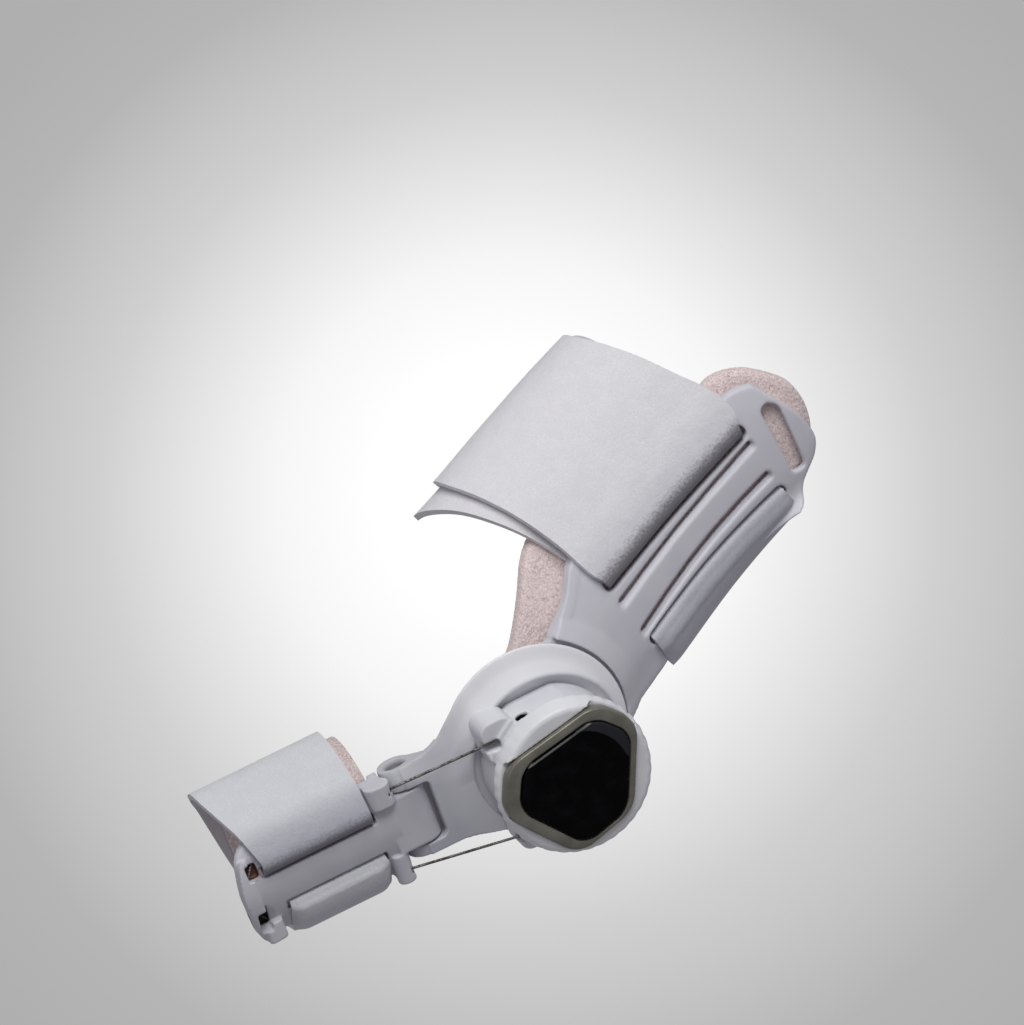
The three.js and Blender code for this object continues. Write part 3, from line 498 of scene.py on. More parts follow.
# Dial housing
# A white drum fixed on the link inside the sunk ring, with a flat on top, and two soft blocks on its toe side
# that the steel cables come out of.
guide_x = dial_x - 11.8
upper_guide_z, lower_guide_z = dial_z + 12.7, dial_z - 13.5
cable_w = 8
toe_z = -3.25
boss_x = -41
upper_cable = (Vector((guide_x, -cable_w, upper_guide_z)), Vector((boss_x, 0.5, toe_z + 8.8)))
lower_cable = (Vector((guide_x, -cable_w, lower_guide_z)), Vector((boss_x, 2.2, toe_z - 13.4)))


def guide(z, half):
    """A soft block that a cable comes out of."""
    left, right = guide_x - 4.5, guide_x + 4.5
    corners = ((left, z - half, 3), (right, z - half, 3), (right, z + half, 3), (left, z + half, 3))
    return flat_slab(corners, 0.3, 10)


housing_solids = [
    carved([drum(17.2, dial_x, dial_z, -0.9, 14.2, 128)], [block(-30, 30, -2, 15.2, dial_z + 16.2, 30)]),
    guide(upper_guide_z, 5.5), guide(lower_guide_z, 3.5)]
housing_cuts = [
    carved([drum(46, dial_x, dial_z, 9.2, 11, 96)], [drum(18.7, dial_x, dial_z, 8, 12, 96)]),
    block(-5.2, -2.2, 7.0, 9.8, 6, 14)]
for start, end in (upper_cable, lower_cable):
    along = (end - start).normalized()
    housing_cuts.append(round_bar(1.0, start - along * 2, end, 20))
    z = start.z - (0.2 if start.z > dial_z else -0.2)
    housing_cuts.append(block(start.x - 9, start.x - 0.5, 6.4, 11, z - 1.2, z + 1.2))
housing = moulded("dial_housing_moulding", [carved(housing_solids, housing_cuts)], 0.3, 6)
put_on_link(housing)
housing_white = satin_plastic("housing_white", 0.38)
housing_tone = housing_white.blend(clouds(housing_white), srgb(222, 222, 226), srgb(214, 214, 221))
# Painted shadow: the pocket in the housing's top is painted near black inside
hole_shadow = (0.0027 - housing_white.distance(on_link((-3.7, -8.4, 9.6)))).held(0, 0.0003)
housing_white.feed("Base Color", housing_white.blend(hole_shadow, housing_tone, srgb(26, 26, 28)))
dress(housing, housing_white, "link", ["dial_housing"])


# Dial ring
# The white grip that is turned by hand. It is a shallow cone over a knurled rim, with faint ribs round its
# slope, and a six-sided pocket for the bezel.
def six_corners(grow, inset, rounding, spill=0.0):
    """Where the six straight sides of the bezel or the insert meet. Spill moves the two far sides out."""
    sides = ((101, 14.2, 2.7), (42, 18.6, 3.4), (-22, 14.1, 1.9), (-75, 15.4, 1.4), (-142, 15.8, 3.1),
             (156, 18.6, 4.0))
    lines = [(math.radians(facing), reach + grow - inset * kept + (spill if reach > 18 else 0))
             for facing, reach, kept in sides]
    corners = []
    for (angle, reach), (next_angle, next_reach) in zip(lines, lines[1:] + lines[:1]):
        spread = math.sin(next_angle - angle)
        corners.append((
            dial_x + (reach * math.sin(next_angle) - next_reach * math.sin(angle)) / spread,
            dial_z + (next_reach * math.cos(angle) - reach * math.cos(next_angle)) / spread, rounding))
    return corners


def turned(profile, facets):
    """A closed body turned about the dial's axis from rows of radius and distance outward."""
    lathe = bmesh.new()
    line = [lathe.verts.new((dial_x + radius, -w, dial_z)) for radius, w in profile]
    edges = [lathe.edges.new(pair) for pair in zip(line, line[1:])]
    bmesh.ops.spin(lathe, geom=line + edges, cent=(dial_x, 0, dial_z), axis=(0, 1, 0), angle=2 * math.pi,
                   steps=facets, use_merge=True)
    bmesh.ops.remove_doubles(lathe, verts=lathe.verts, dist=0.001)
    return outward(lathe)


ring_base = 14.6
ring_profile = ((0, 0), (19.2, 0), (19.6, 0.3), (19.7, 0.9), (19.65, 1.6), (19.45, 2.4), (19.2, 3.4),
                (18.85, 4.5), (18.35, 5.3), (17.6, 5.6), (0, 5.6))
ring_blank = turned([(radius, ring_base + up) for radius, up in ring_profile], 288)
rib_count = 36
for vertex in ring_blank.verts:
    out = Vector((vertex.co.x - dial_x, 0, vertex.co.z - dial_z))
    if out.length > 17.5:
        turn = math.atan2(out.z, out.x)
        up = -vertex.co.y - ring_base
        facing = 0.5 - 0.5 * math.cos(turn - math.radians(112))
        depth = (0.08 + 0.62 * facing) if up < 2.1 else 0.06 + 0.12 * facing
        lump = 0.5 - 0.5 * math.cos(rib_count * turn)
        vertex.co -= out.normalized() * depth * lump ** 1.5
ring_pocket = flat_slab(six_corners(0.12, 0, 4, 1.6), 17.9, 22, 10)
ring = moulded("dial_grip_ring", [carved([ring_blank], [ring_pocket])], 0.28, 7)
put_on_link(ring)
dial_white = satin_plastic("dial_white", 0.36, srgb(232, 233, 235), srgb(224, 225, 229))
dress(ring, dial_white, "dial", ["dial_ring"])


# Dial bezel and insert
# A six-sided frame of satin olive-grey metal paint let into the ring, and a glossy black plate let into
# the frame, nearly flush.
def edged(name, solid, width):
    """A solid with its hard edges bevelled."""
    thing = loose_object(name, [solid])
    modify(thing, "BEVEL", width=width, segments=3, limit_method="ANGLE", angle_limit=math.radians(40))
    return settled(thing)


bezel = edged("dial_bezel_frame", carved(
    [flat_slab(six_corners(0, 0, 4), 18.0, 21.4, 10)],
    [flat_slab(six_corners(0.3, 1, 3.5), 19.9, 22.4, 10)]), 0.45)
put_on_link(bezel)
bezel_paint = Finish("bezel_paint", 0.34, metallic=0.35)
bezel_paint.feed("Base Color", bezel_paint.blend(
    bezel_paint.grain(0.006, 3.0).held(0.35, 0.65), srgb(134, 132, 120), srgb(114, 112, 102)))
bezel_paint.feed("Roughness", 0.28 + 0.16 * bezel_paint.grain(0.0008, 4.0))
bezel_paint.feed("Normal", bezel_paint.relief(bezel_paint.grain(0.0004, 2.0), 0.000008))
dress(bezel, bezel_paint, "dial", ["dial_bezel"])

insert = edged("dial_insert_plate", flat_slab(six_corners(0, 1, 3.5), 20.2, 21.7, 10), 0.35)
put_on_link(insert)
insert_gloss = Finish("insert_gloss", 0.08, specular=0.07)
smears = insert_gloss.grain(0.004, 4.0, 0.6)
# Millimetres out from the dial's axis, over the plate
off_axis = insert_gloss.vector("MULTIPLY", insert_gloss.vector(
    "SUBTRACT", insert_gloss.place(), on_link((dial_x, 0, dial_z))), (1000, 0, 1000))


def towards(degrees):
    """Millimetres out from the dial's axis in one direction."""
    angle = math.radians(degrees)
    return insert_gloss.vector("DOT_PRODUCT", off_axis, (math.cos(angle), 0, math.sin(angle)))


black = insert_gloss.blend(smears.held(0.45, 0.75), srgb(3, 3, 4), srgb(14, 14, 17))
# Painted reflection: a dark grey patch over the upper right corner. Painted highlight: a thin light glint
# along the upper-left side
corner_reflection = (insert_gloss.vector("LENGTH", off_axis) - 12.6).held(0, 0.25) * (towards(48) - 9).held(0, 0.4)
black = insert_gloss.blend(corner_reflection, black, srgb(44, 45, 49))
glint = (0.3 - abs(towards(101) - 11.15)).held(0, 0.2) * smears.held(0.3, 0.5)
insert_gloss.feed("Base Color", insert_gloss.blend(glint * 0.4, black, srgb(170, 170, 166)))
insert_gloss.feed("Roughness", 0.06 + 0.12 * smears)
dress(insert, insert_gloss, "dial", ["dial_insert"])


# Foot plate
# A satin grey plate moulded to the inner side of the midfoot. It passes under the disc, widens into an ear,
# and carries two strap slots, two vents (a narrow slot in a groove each) and a short slot at the heel.
foot_turn = math.radians(18)
form_depth = 6.9
foot_width, foot_crest, foot_sole, plate_length = 79, 41.5, 18, 100
upper_slot, lower_slot = 12.8, -6.2
middle_level = (upper_slot + lower_slot) / 2
# Level, share of the rise to the crest, share of the drop to the sole, share of the width
form_rows = (
    (lower_slot, 0, 0, 0.01), (middle_level, 0, 0, 0), (upper_slot, 0, 0, 0.018), (upper_slot, 0.4, 0, 0.085),
    (upper_slot, 0.8, 0, 0.2), (upper_slot, 1, 0, 0.42), (upper_slot, 0.72, 0, 0.68),
    (upper_slot, 0.34, 0, 0.91), (middle_level, 0, 0, 1), (lower_slot, 0, 0.55, 0.94),
    (lower_slot, 0, 1, 0.72), (lower_slot, 0, 0.93, 0.42), (lower_slot, 0, 0.9, 0.17),
    (lower_slot, 0, 0.5, 0.05))
# Place along the foot, distance of its inner side, and shares of width, crest and sole
stations = (
    (-0.3, 0, 1, 0.95, 1.1), (0, 0, 1, 0.98, 1.1), (0.2, 0.006, 1.02, 1, 1.08), (0.4, 0.07, 1, 1, 1),
    (0.6, 0.132, 0.97, 1, 0.9), (0.8, 0.176, 0.94, 1, 0.8), (1.05, 0.214, 0.9, 1.02, 0.72))


def smooth_row(rows, place):
    """Rows of a table read at a place between them, each column smooth from row to row."""
    index = min(int(math.floor(place)), len(rows) - 2)
    t = place - index
    near = [rows[min(max(k, 0), len(rows) - 1)] for k in range(index - 1, index + 3)]
    values = []
    for p0, p1, p2, p3 in zip(*near):
        slope1, slope2, rise = (p2 - p0) / 2, (p3 - p1) / 2, p2 - p1
        turn = 3 * rise - 2 * slope1 - slope2
        values.append(p1 + t * (slope1 + t * (turn + t * (slope1 + slope2 - 2 * rise))))
    return values


def look_up(rows, value):
    """Rows of a table read at a value of their first column."""
    held = min(max(value, rows[0][0]), rows[-1][0])
    index = next((k for k, row in enumerate(rows) if row[0] > held), len(rows) - 1) - 1
    return smooth_row(rows, index + (held - rows[index][0]) / (rows[index + 1][0] - rows[index][0]))


def section_points(a):
    """Level and outward distance of the foot's section at a place along it."""
    _, moved, width, crest, sole = look_up(stations, a / plate_length)
    return [(level + rise * (foot_crest * crest - upper_slot) - fall * (foot_sole * sole + lower_slot),
             -form_depth - moved * plate_length - across * foot_width * width)
            for level, rise, fall, across in form_rows]


def on_curve(points, place):
    """A point of the smooth closed curve through the section's points."""
    index = math.floor(place)
    t = place - index
    p0, p1, p2, p3 = (points[k % len(points)] for k in range(index - 1, index + 3))
    spans = [max(math.dist(a, b) ** 0.5, 1e-4) for a, b in ((p0, p1), (p1, p2), (p2, p3))]
    result = []
    for x0, x1, x2, x3 in zip(p0, p1, p2, p3):
        d0, d1, d2 = spans
        t1 = ((x1 - x0) / d0 - (x2 - x0) / (d0 + d1) + (x2 - x1) / d1) * d1
        t2 = ((x2 - x1) / d1 - (x3 - x1) / (d1 + d2) + (x3 - x2) / d2) * d1
        turn = -3 * x1 + 3 * x2 - 2 * t1 - t2
        result.append(x1 + t * (t1 + t * (turn + t * (2 * x1 - 2 * x2 + t1 + t2))))
    return result


def on_foot(a, place, lift):
    """A point over the foot's section: a along the foot, -w and the level, in millimetres."""
    points = section_points(a)
    here = on_curve(points, place)
    ahead = on_curve(points, place + 0.028)
    behind = on_curve(points, place - 0.028)
    slope = Vector((ahead[0] - behind[0], ahead[1] - behind[1])).normalized()
    return Vector((a, -(here[1] + slope.x * lift), here[0] - slope.y * lift))


# Distance outward of the foot's inner side, by place along the foot and by level
step_a, step_c = 2.0, 0.5
side_a = np.arange(-30, 112, step_a)
side_c = np.arange(-20, 36, step_c)
side_w = np.empty((len(side_a), len(side_c)))
for row, a in enumerate(side_a):
    outline = [on_curve(section_points(a), place) for place in np.arange(-2.4, 4.3, 0.05)]
    levels, distances = zip(*outline)
    side_w[row] = np.interp(side_c, levels, distances)
side_slope = np.gradient(side_w, side_c, axis=1)


def read_side(grid, a, c):
    """The grid read between its places."""
    row = np.clip((a - side_a[0]) / step_a, 0, len(side_a) - 1.001)
    column = np.clip((c - side_c[0]) / step_c, 0, len(side_c) - 1.001)
    i, j = row.astype(int), column.astype(int)
    s, t = row - i, column - j
    return ((1 - s) * ((1 - t) * grid[i, j] + t * grid[i, j + 1])
            + s * ((1 - t) * grid[i + 1, j] + t * grid[i + 1, j + 1]))


def turned_to_foot(points):
    """Points along the foot and up it, turned about the disc and put in the frame in metres."""
    x = points[:, 0] * math.cos(foot_turn) - points[:, 2] * math.sin(foot_turn)
    z = points[:, 0] * math.sin(foot_turn) + points[:, 2] * math.cos(foot_turn)
    return np.stack([x, points[:, 1], z], axis=1) * 0.001 + np.array(disc_middle)


def bend_to_foot(thing, points):
    """A flat piece laid on the side of the foot. Its distance outward is its lift from the foot."""
    steep = read_side(side_slope, points[:, 0], points[:, 2])
    w = read_side(side_w, points[:, 0], points[:, 2]) - points[:, 1] * np.sqrt(1 + steep ** 2)
    move_corners(thing, turned_to_foot(np.stack([points[:, 0], -w, points[:, 2]], axis=1)))


def bowed(points):
    """The slots and the rail bow up a little in the middle of the plate."""
    a, c = points[:, 0], points[:, 2]
    share = np.clip((9.5 - c) / 8, 0, 1) * np.clip((c + 20) / 7, 0, 1)
    share *= np.clip(1 - ((a - 61) / 27) ** 2, 0, 1)
    raised = points.copy()
    raised[:, 2] += 1.3 * share
    return raised


def slot_cut(a_from, c_from, a_to, c_to, width, w_from=0, w_to=6):
    """A long slot with round ends."""
    along = Vector((a_to - a_from, c_to - c_from)).normalized() * (width / 2)
    corners = ((a_from - along.y, c_from + along.x), (a_from + along.y, c_from - along.x),
               (a_to + along.y, c_to - along.x), (a_to - along.y, c_to + along.x))
    return flat_slab([(a, c, width * 0.45) for a, c in corners], w_from, w_to)


plate_inner, plate_outer = 1.9, 4.1
slot_front, slot_heel = 36, 87
slot_width, groove_width, vent_width = 3.6, 2.6, 1.3
groove_floor = plate_outer - 0.9
disc_edge = disc_radius + 0.7
plate_outline = (
    (12.8, 15.0, 4), (24, 15.6, 8), (33.5, 22.8, 4), (37.5, 22.7, 2), (92, 21.0, 4), (95.6, 18.2, 3),
    (100.2, 3.4, 5), (98.4, -4.6, 4), (88.6, -9.4, 2), (86.4, -13.0, 3), (34, -14.0, 8), (14, -16.4, 6),
    (0, -18.7, 0), (-9.4, -16.2, 6), (-16.2, -9.4, 6), (-18.7, 0, 6), (-16.2, 9.4, 6), (-9.4, 16.2, 6),
    (0, 18.7, 6))
plate_cuts = [
    slot_cut(slot_front, upper_slot, slot_heel, upper_slot, slot_width),
    slot_cut(slot_front, 7.2, slot_heel - 0.5, 8.8, groove_width, groove_floor),
    slot_cut(slot_front + 0.4, 7.6, slot_heel - 0.9, 9.2, vent_width),
    slot_cut(slot_front - 0.5, -2.4, slot_heel - 2, -0.4, groove_width, groove_floor),
    slot_cut(slot_front - 0.1, -2.0, slot_heel - 2.4, 0, vent_width),
    slot_cut(slot_front, lower_slot, slot_heel - 1.8, lower_slot, slot_width),
    flat_slab(((89.0, -4.6, 1.2), (92.6, -6.2, 1.6), (97.0, 10.8, 1.4), (95.0, 13.4, 1.0), (92.6, 12.9, 1.0)),
              0, 6),
    drum(rivet_bore, 0, 0, 0, 6)]
ear_rim = carved([flat_slab((
    (11.5, 15.1, 0), (24, 15.9, 8), (33.4, 23.1, 3), (36.0, 23.1, 0.8), (36.0, 21.2, 0.6), (34.1, 20.5, 3),
    (25, 13.9, 8), (12.2, 13.0, 0)), 0.9, plate_outer + 0.18)], [drum(disc_edge, 0, 0, 0, 9, 128)])
# A cone round the disc's edge, on the heel side only
collar = carved(
    [drum(31, 0, 0, plate_outer - 0.6, plate_outer + 1.7, 128, 24.5)],
    [drum(disc_edge, 0, 0, 0, 9, 128),
     flat_slab(((-40, -40, 0), (10, -40, 0), (0, 0, 0), (29, 30, 0), (29, 45, 0), (-40, 45, 0)), 0, 9)])
collar = carved([collar], [flat_slab(plate_outline, 0, 9)], "INTERSECT")
foot_plate = moulded("foot_plate_moulding", [
    carved([flat_slab(plate_outline, plate_inner, plate_outer)], plate_cuts), ear_rim, collar], 0.38, 4)
bend_to_foot(foot_plate, bowed(corners_of(foot_plate)))
plate_grey = satin_plastic("plate_grey", 0.42, srgb(214, 213, 219), srgb(206, 205, 213))
dress(foot_plate, plate_grey, "foot_side", ["foot_plate"])


# Foot pad
# A soft pinkish towelling pad between the plate and the foot. It shows past the plate at the front of the
# ear and round the heel end, and through the vents.
pad_outline = (
    (8, 16.2, 3), (17.5, 22.4, 7), (28, 30.0, 5), (40, 29.8, 6), (54, 26.4, 8), (80, 23.4, 8), (92, 23.8, 6),
    (100, 17.0, 6), (104.2, 8, 6), (99.5, -4.5, 6), (89, -10.4, 5), (36, -12, 8), (8, -14, 8),
    (-14, -12.5, 8), (-14, 13.5, 8))
pad_thickness = 3.5
pad_rises = [
    flat_slab(((31, -3.4, 2), (86, -2.6, 2), (86, 10, 2), (31, 10, 2)), -2, 1.5),
    flat_slab(((85.4, -8.8, 1), (92, -7.4, 2), (97, -3.6, 3), (99, 3, 3), (96.4, 13.8, 3), (88.4, 15.5, 2),
               (88, -3.2, 1), (85.4, -3.2, 1)), -2, 1.5)]
foot_pad = moulded("foot_pad_towelling", [
    flat_slab(pad_outline, -0.3 - pad_thickness, -0.3), *pad_rises], 0.6, 8)
bend_to_foot(foot_pad, corners_of(foot_pad))
towelling = Finish("pad_towelling", 0.95, specular=0.12, sheen=0.25)
loops = towelling.node("ShaderNodeTexVoronoi", {}, {"Vector": towelling.place(), "Scale": 1 / 0.0009})
flecks = towelling.grain(0.00045, 2.0, 0.5)
specks = towelling.grain(0.0009, 3.0, 0.65, towelling.vector("ADD", towelling.place(), (0.3, 0.1, 0.7)))
shade = towelling.blend(flecks.held(0.42, 0.62), srgb(206, 184, 181), srgb(246, 233, 231))
shade = towelling.blend(towelling.grain(0.007).held(0.3, 0.7) * 0.6, shade, srgb(232, 215, 213))
towelling.feed("Base Color", towelling.blend(specks.held(0.58, 0.68) * 0.55, shade, srgb(160, 134, 130)))
towelling.feed("Normal", towelling.relief(loops, 0.00012, towelling.relief(flecks, 0.00010)))
dress(foot_pad, towelling, "foot_side", ["foot_pad"])


# Midfoot strap
# One length of brushed white loop cloth. It starts under the sole, comes up inside the rail and out through
# the lower slot, goes round the foot, in through the upper slot, and back over the foot under itself.
strap_thickness = 1.6
plate_between = plate_inner + 1.1
inside = strap_thickness / 2
outside = plate_outer + 0.3 + strap_thickness / 2
doubled = strap_thickness * 1.5 + 0.3
rows_round = len(form_rows)
# One millimetre past each slot, in rows of the foot's section, and the upper slot's row after one round
upper_turn = 1 / (0.4 * (foot_crest - upper_slot))
lower_turn = 1 / (0.5 * (foot_sole + lower_slot))
round_again = 2 - rows_round
# Place round the section, lift of the middle of the cloth, extra width at the front
midfoot_rows = (
    (-2.9, inside, 0), (-1.9, inside, 0), (-1, inside, 0), (-2.2 * lower_turn, inside, 0),
    (-1.2 * lower_turn, inside, 0), (0.35 * lower_turn, inside + 0.7, 0),
    (0.7 * lower_turn, plate_between, 0),
    (0.35 * lower_turn, outside - 0.5, 0), (-1.2 * lower_turn, outside + 0.25, 0),
    (-2.4 * lower_turn, outside, 0), (-0.75, outside, 0), (-1.15, outside - 0.3, 0), (-1.9, doubled + 0.5, 0),
    (-2.9, doubled, 0), (-3.6, inside + 0.4, 0), (-4.5, inside, 0), (-5.5, inside, 0), (-6.5, inside, 0),
    (-7.4, inside + 0.3, 0),
    (-8.2, doubled, 0), (-9, doubled + 0.7, 0), (-10, doubled + 0.6, 0), (-10.8, outside - 0.8, 0),
    (-11.3, outside, 0),
    (round_again + 2.4 * upper_turn, outside, 0), (round_again + 1.2 * upper_turn, outside + 0.25, 0),
    (round_again - 0.65 * upper_turn, outside - 0.5, 0), (round_again - 1.1 * upper_turn, plate_between, 0),
    (round_again - 0.65 * upper_turn, inside + 0.7, 0), (round_again + 1.2 * upper_turn, inside, 0),
    (round_again + 2.2 * upper_turn, inside, 0.4), (-11.2, inside, 1.2), (-10.2, inside, 2.8),
    (-9.3, inside, 4.6), (-8.7, inside, 7.4), (-8.3, inside, 9.0))
# Place round the section, and how far the front and back edges have moved forward as shares of the lean
strap_edges = (
    (0, 0, 0.1), (1, 0, 0.04), (2, 0, 0), (2.3, 0.09, -0.14), (2.6, 0.13, -0.12), (3, 0.17, -0.02),
    (3.5, 0.27, 0.2), (4, 0.42, 0.42), (4.5, 0.63, 0.7), (5, 0.85, 0.97), (5.5, 0.91, 1.05), (6, 0.88, 1.02),
    (7, 0.6, 0.65), (8, 0.2, 0.22), (9, 0, 0), (13, 0, 0.08), (14, 0, 0.1))
strap_lean = 14
strap_front, strap_heel = slot_front + 0.8, slot_heel - 1.2


def twins(line, drawn):
    """For each point of a row, the point drawn out of it."""
    fresh = list(drawn)
    found = []
    for vertex in line:
        twin = min(fresh, key=lambda item: (item.co - vertex.co).length_squared)
        fresh.remove(twin)
        found.append(twin)
    return found


def ribbon(name, rows, steps, columns, locate, thickness):
    """A strap drawn out row by row from its first edge and given a thickness, and its length at each row."""
    strip = bmesh.new()
    layer = strip.loops.layers.uv.new("cloth")
    first = smooth_row(rows, 0)
    line = [strip.verts.new(locate(first, j / columns)) for j in range(columns + 1)]
    edges = [strip.edges.new(pair) for pair in zip(line, line[1:])]
    across = (line[-1].co - line[0].co).length
    run = 0.0
    runs = [0.0]
    where = {vertex: (across * j / columns, 0.0) for j, vertex in enumerate(line)}
    for i in range(1, (len(rows) - 1) * steps + 1):
        drawn = bmesh.ops.extrude_edge_only(strip, edges=edges)["geom"]
        ahead = twins(line, [item for item in drawn if isinstance(item, bmesh.types.BMVert)])
        row = smooth_row(rows, i / steps)
        places = [locate(row, j / columns) for j in range(columns + 1)]
        run += (places[columns // 2] - line[columns // 2].co).length
        for j, (vertex, place) in enumerate(zip(ahead, places)):
            vertex.co = place
            where[vertex] = (across * j / columns, run)
        line = ahead
        edges = [strip.edges.get(pair) for pair in zip(line, line[1:])]
        if i % steps == 0:
            runs.append(run)
    for face in strip.faces:
        for loop in face.loops:
            loop[layer].uv = where[loop.vert]
    thing = new_object(name, outward(strip))
    modify(thing, "SOLIDIFY", thickness=thickness, offset=0)
    modify(thing, "BEVEL", width=thickness * 0.3, segments=2, limit_method="ANGLE",
           angle_limit=math.radians(60))
    modify(thing, "SUBSURF", levels=1, render_levels=1)
    return settled(thing), runs


def brushed_cloth(name, light, shade, tuck_shades, hollow_shades):
    """Brushed loop cloth: short matted nap and a soft cloudiness. Each tuck or hollow of painted shade is a
    distance along the strap in millimetres, its reach and how dark it is. A tuck is painted shade with a
    ragged edge, and a hollow is soft, bluish painted shade."""
    finish = Finish(name, 0.95, specular=0.08, sheen=0.25)
    nap = finish.grain(0.00042, 3.0, 0.6)
    matted = finish.grain(0.0045, 3.0, 0.5)
    tone = finish.blend(matted.held(0.3, 0.7), light, shade)
    tone = finish.blend(nap.held(0.3, 0.62), tuple(0.94 * part for part in shade), tone)
    along = finish.node("ShaderNodeSeparateXYZ", {}, {
        0: finish.node("ShaderNodeUVMap", {"uv_map": "cloth"})}, output=1)
    # Painted shade: a soft bluish darkening about each hollow
    for middle, reach, depth in hollow_shades:
        near = (1 - abs(along - middle) / reach).held(0, 1)
        tone = finish.blend(near * depth, tone, srgb(136, 138, 160))
    ragged = finish.grain(0.0007, 4.0, 0.7)
    # Painted shade where the strap turns into a slot, its edge made ragged by noise
    for middle, reach, depth in tuck_shades:
        near = 1 - abs(along - middle) / reach
        tuck_shade = (near + (ragged - 0.5) * 1.1).held(0.15, 0.75)
        tone = finish.blend(tuck_shade * depth, tone, srgb(120, 118, 122))
    finish.feed("Base Color", tone)
    finish.feed("Normal", finish.relief(nap, 0.00007, finish.relief(matted, 0.00035)))
    return finish


def on_midfoot(row, share):
    """A point of the strap's middle layer, from its front edge to its heel edge by the share."""
    place, lift, fore = row
    _, front, back = look_up(strap_edges, place % rows_round)
    a_front = strap_front - fore - front * strap_lean
    a_heel = strap_heel - back * strap_lean
    edge = max(0.0, 1 - min(share, 1 - share) * 22)
    puffed = min(max((lift - plate_between) / 2, 0), 1) * max(0.0, 1 - abs(place + 0.6) / 0.9)
    return on_foot(a_front + (a_heel - a_front) * share, place, lift + puffed * (0.45 - 1.2 * edge ** 2))


midfoot_strap, midfoot_runs = ribbon("midfoot_strap", midfoot_rows, 4, 24, on_midfoot, strap_thickness)
move_corners(midfoot_strap, turned_to_foot(bowed(corners_of(midfoot_strap))))
# Painted shade: dark where the strap goes into the upper slot and out of the lower, bluish near the upper
# slot and round the rail
midfoot_cloth = brushed_cloth("midfoot_strap_cloth", srgb(233, 232, 235), srgb(227, 226, 230), (
    (midfoot_runs[26], 4.8, 0.9), (midfoot_runs[7], 1.2, 0.3)), (
    (midfoot_runs[26], 9, 0.28), (midfoot_runs[8], 22, 0.45)))
dress(midfoot_strap, midfoot_cloth, "foot_side", ["foot_strap"])


# Toe plate
# A grey shell curved round the toe, with a slot above and below for the toe strap, a raised front rim with
# two windows on the cable, a barrel between the fork's arms and a boss above and below for the cable.
toe_depth = 20
toe_inner, toe_outer = 18.5, 20.5
toe_front, toe_rear = -81.8, -39.0
toe_slot_rear, toe_slot_front = -44.0, -74.6
upper_angle, lower_angle = 10.6, -20.8
toe_cable_radius = 19.5


def toe_level(angle):
    return toe_z + toe_outer * math.sin(math.radians(angle))


def around_toe(x, angle, radius):
    return Vector((x, toe_depth - radius * math.cos(math.radians(angle)),
                   toe_z + radius * math.sin(math.radians(angle))))


def toe_sector(x_from, x_to, inner, outer, angle_from, angle_to, steps=40):
    """A piece of a tube round the toe."""
    sector = bmesh.new()
    corners = [sector.verts.new(around_toe(x, angle_from, radius)) for x, radius in (
        (x_from, inner), (x_to, inner), (x_to, outer), (x_from, outer))]
    face = sector.faces.new(corners)
    bmesh.ops.spin(sector, geom=[face], cent=(0, toe_depth, toe_z), axis=(1, 0, 0),
                   angle=math.radians(angle_from - angle_to), steps=steps, use_merge=False)
    bmesh.ops.remove_doubles(sector, verts=sector.verts, dist=0.001)
    return outward(sector)


toe_top, toe_bottom = toe_level(33), toe_level(-46)
nose_level = (toe_level(25) + toe_level(-34)) / 2


def toe_outline():
    return flat_slab((
        (toe_rear, toe_top, 0.8), (toe_rear, toe_bottom, 0.8), (toe_slot_front - 2.2, toe_bottom, 2),
        (toe_front + 2.2, toe_bottom + 1.4, 3), (toe_front + 0.6, nose_level - 3, 5),
        (toe_front + 0.9, nose_level + 5, 4), (toe_front + 3.2, toe_top - 1.2, 3),
        (toe_slot_front - 1, toe_top, 1.5)), -20, 6)


toe_shell = carved([toe_sector(toe_front - 2, toe_rear, toe_inner, toe_outer, -50, 37)], [toe_outline()],
                   "INTERSECT")
toe_rim = carved([toe_sector(toe_front - 2, toe_slot_front - 2.4, toe_inner, toe_outer + 2.6, -43, 24)],
                 [toe_outline()], "INTERSECT")
barrel_top, barrel_bottom = window_top - 0.4, window_bottom + 0.4
toe_solids = [
    toe_shell, toe_rim, post(5.2, barrel_bottom, barrel_top, 64),
    block(-41.1, hinge_x, -7, 0.2, barrel_bottom, barrel_top),
    carved([level_slab((
        (-44.3, -7, 0), (-37.6, -7, 0), (-37.6, 0.9, 1.5), (-39.6, 2.2, 1.5), (-44.3, 1.6, 2)),
        window_top - 1, 8.3)], [post(4.9, 0, 12, 64)]),
    round_bar(2.3, (-41.4, 1.9, -11.5), (-41.4, 2.3, -19.3), 32),
    level_slab(((-43.6, -7, 0), (-39.0, -7, 0), (-39.0, -1.5, 1.5), (-43.6, -1.5, 1.5)), -18.2,
               window_bottom),
    level_slab(((-78.4, -6, 0), (-73.4, -6, 0), (-73.4, 0.3, 1.2), (-78.4, 0.9, 1.2)), -17.6, -12.6)]


def level_slot(x_from, x_to, angle):
    """A slot for the toe strap at an angle round the toe."""
    return block(x_from, x_to, -toe_depth, 9, toe_level(angle - 4.25), toe_level(angle + 4.25))


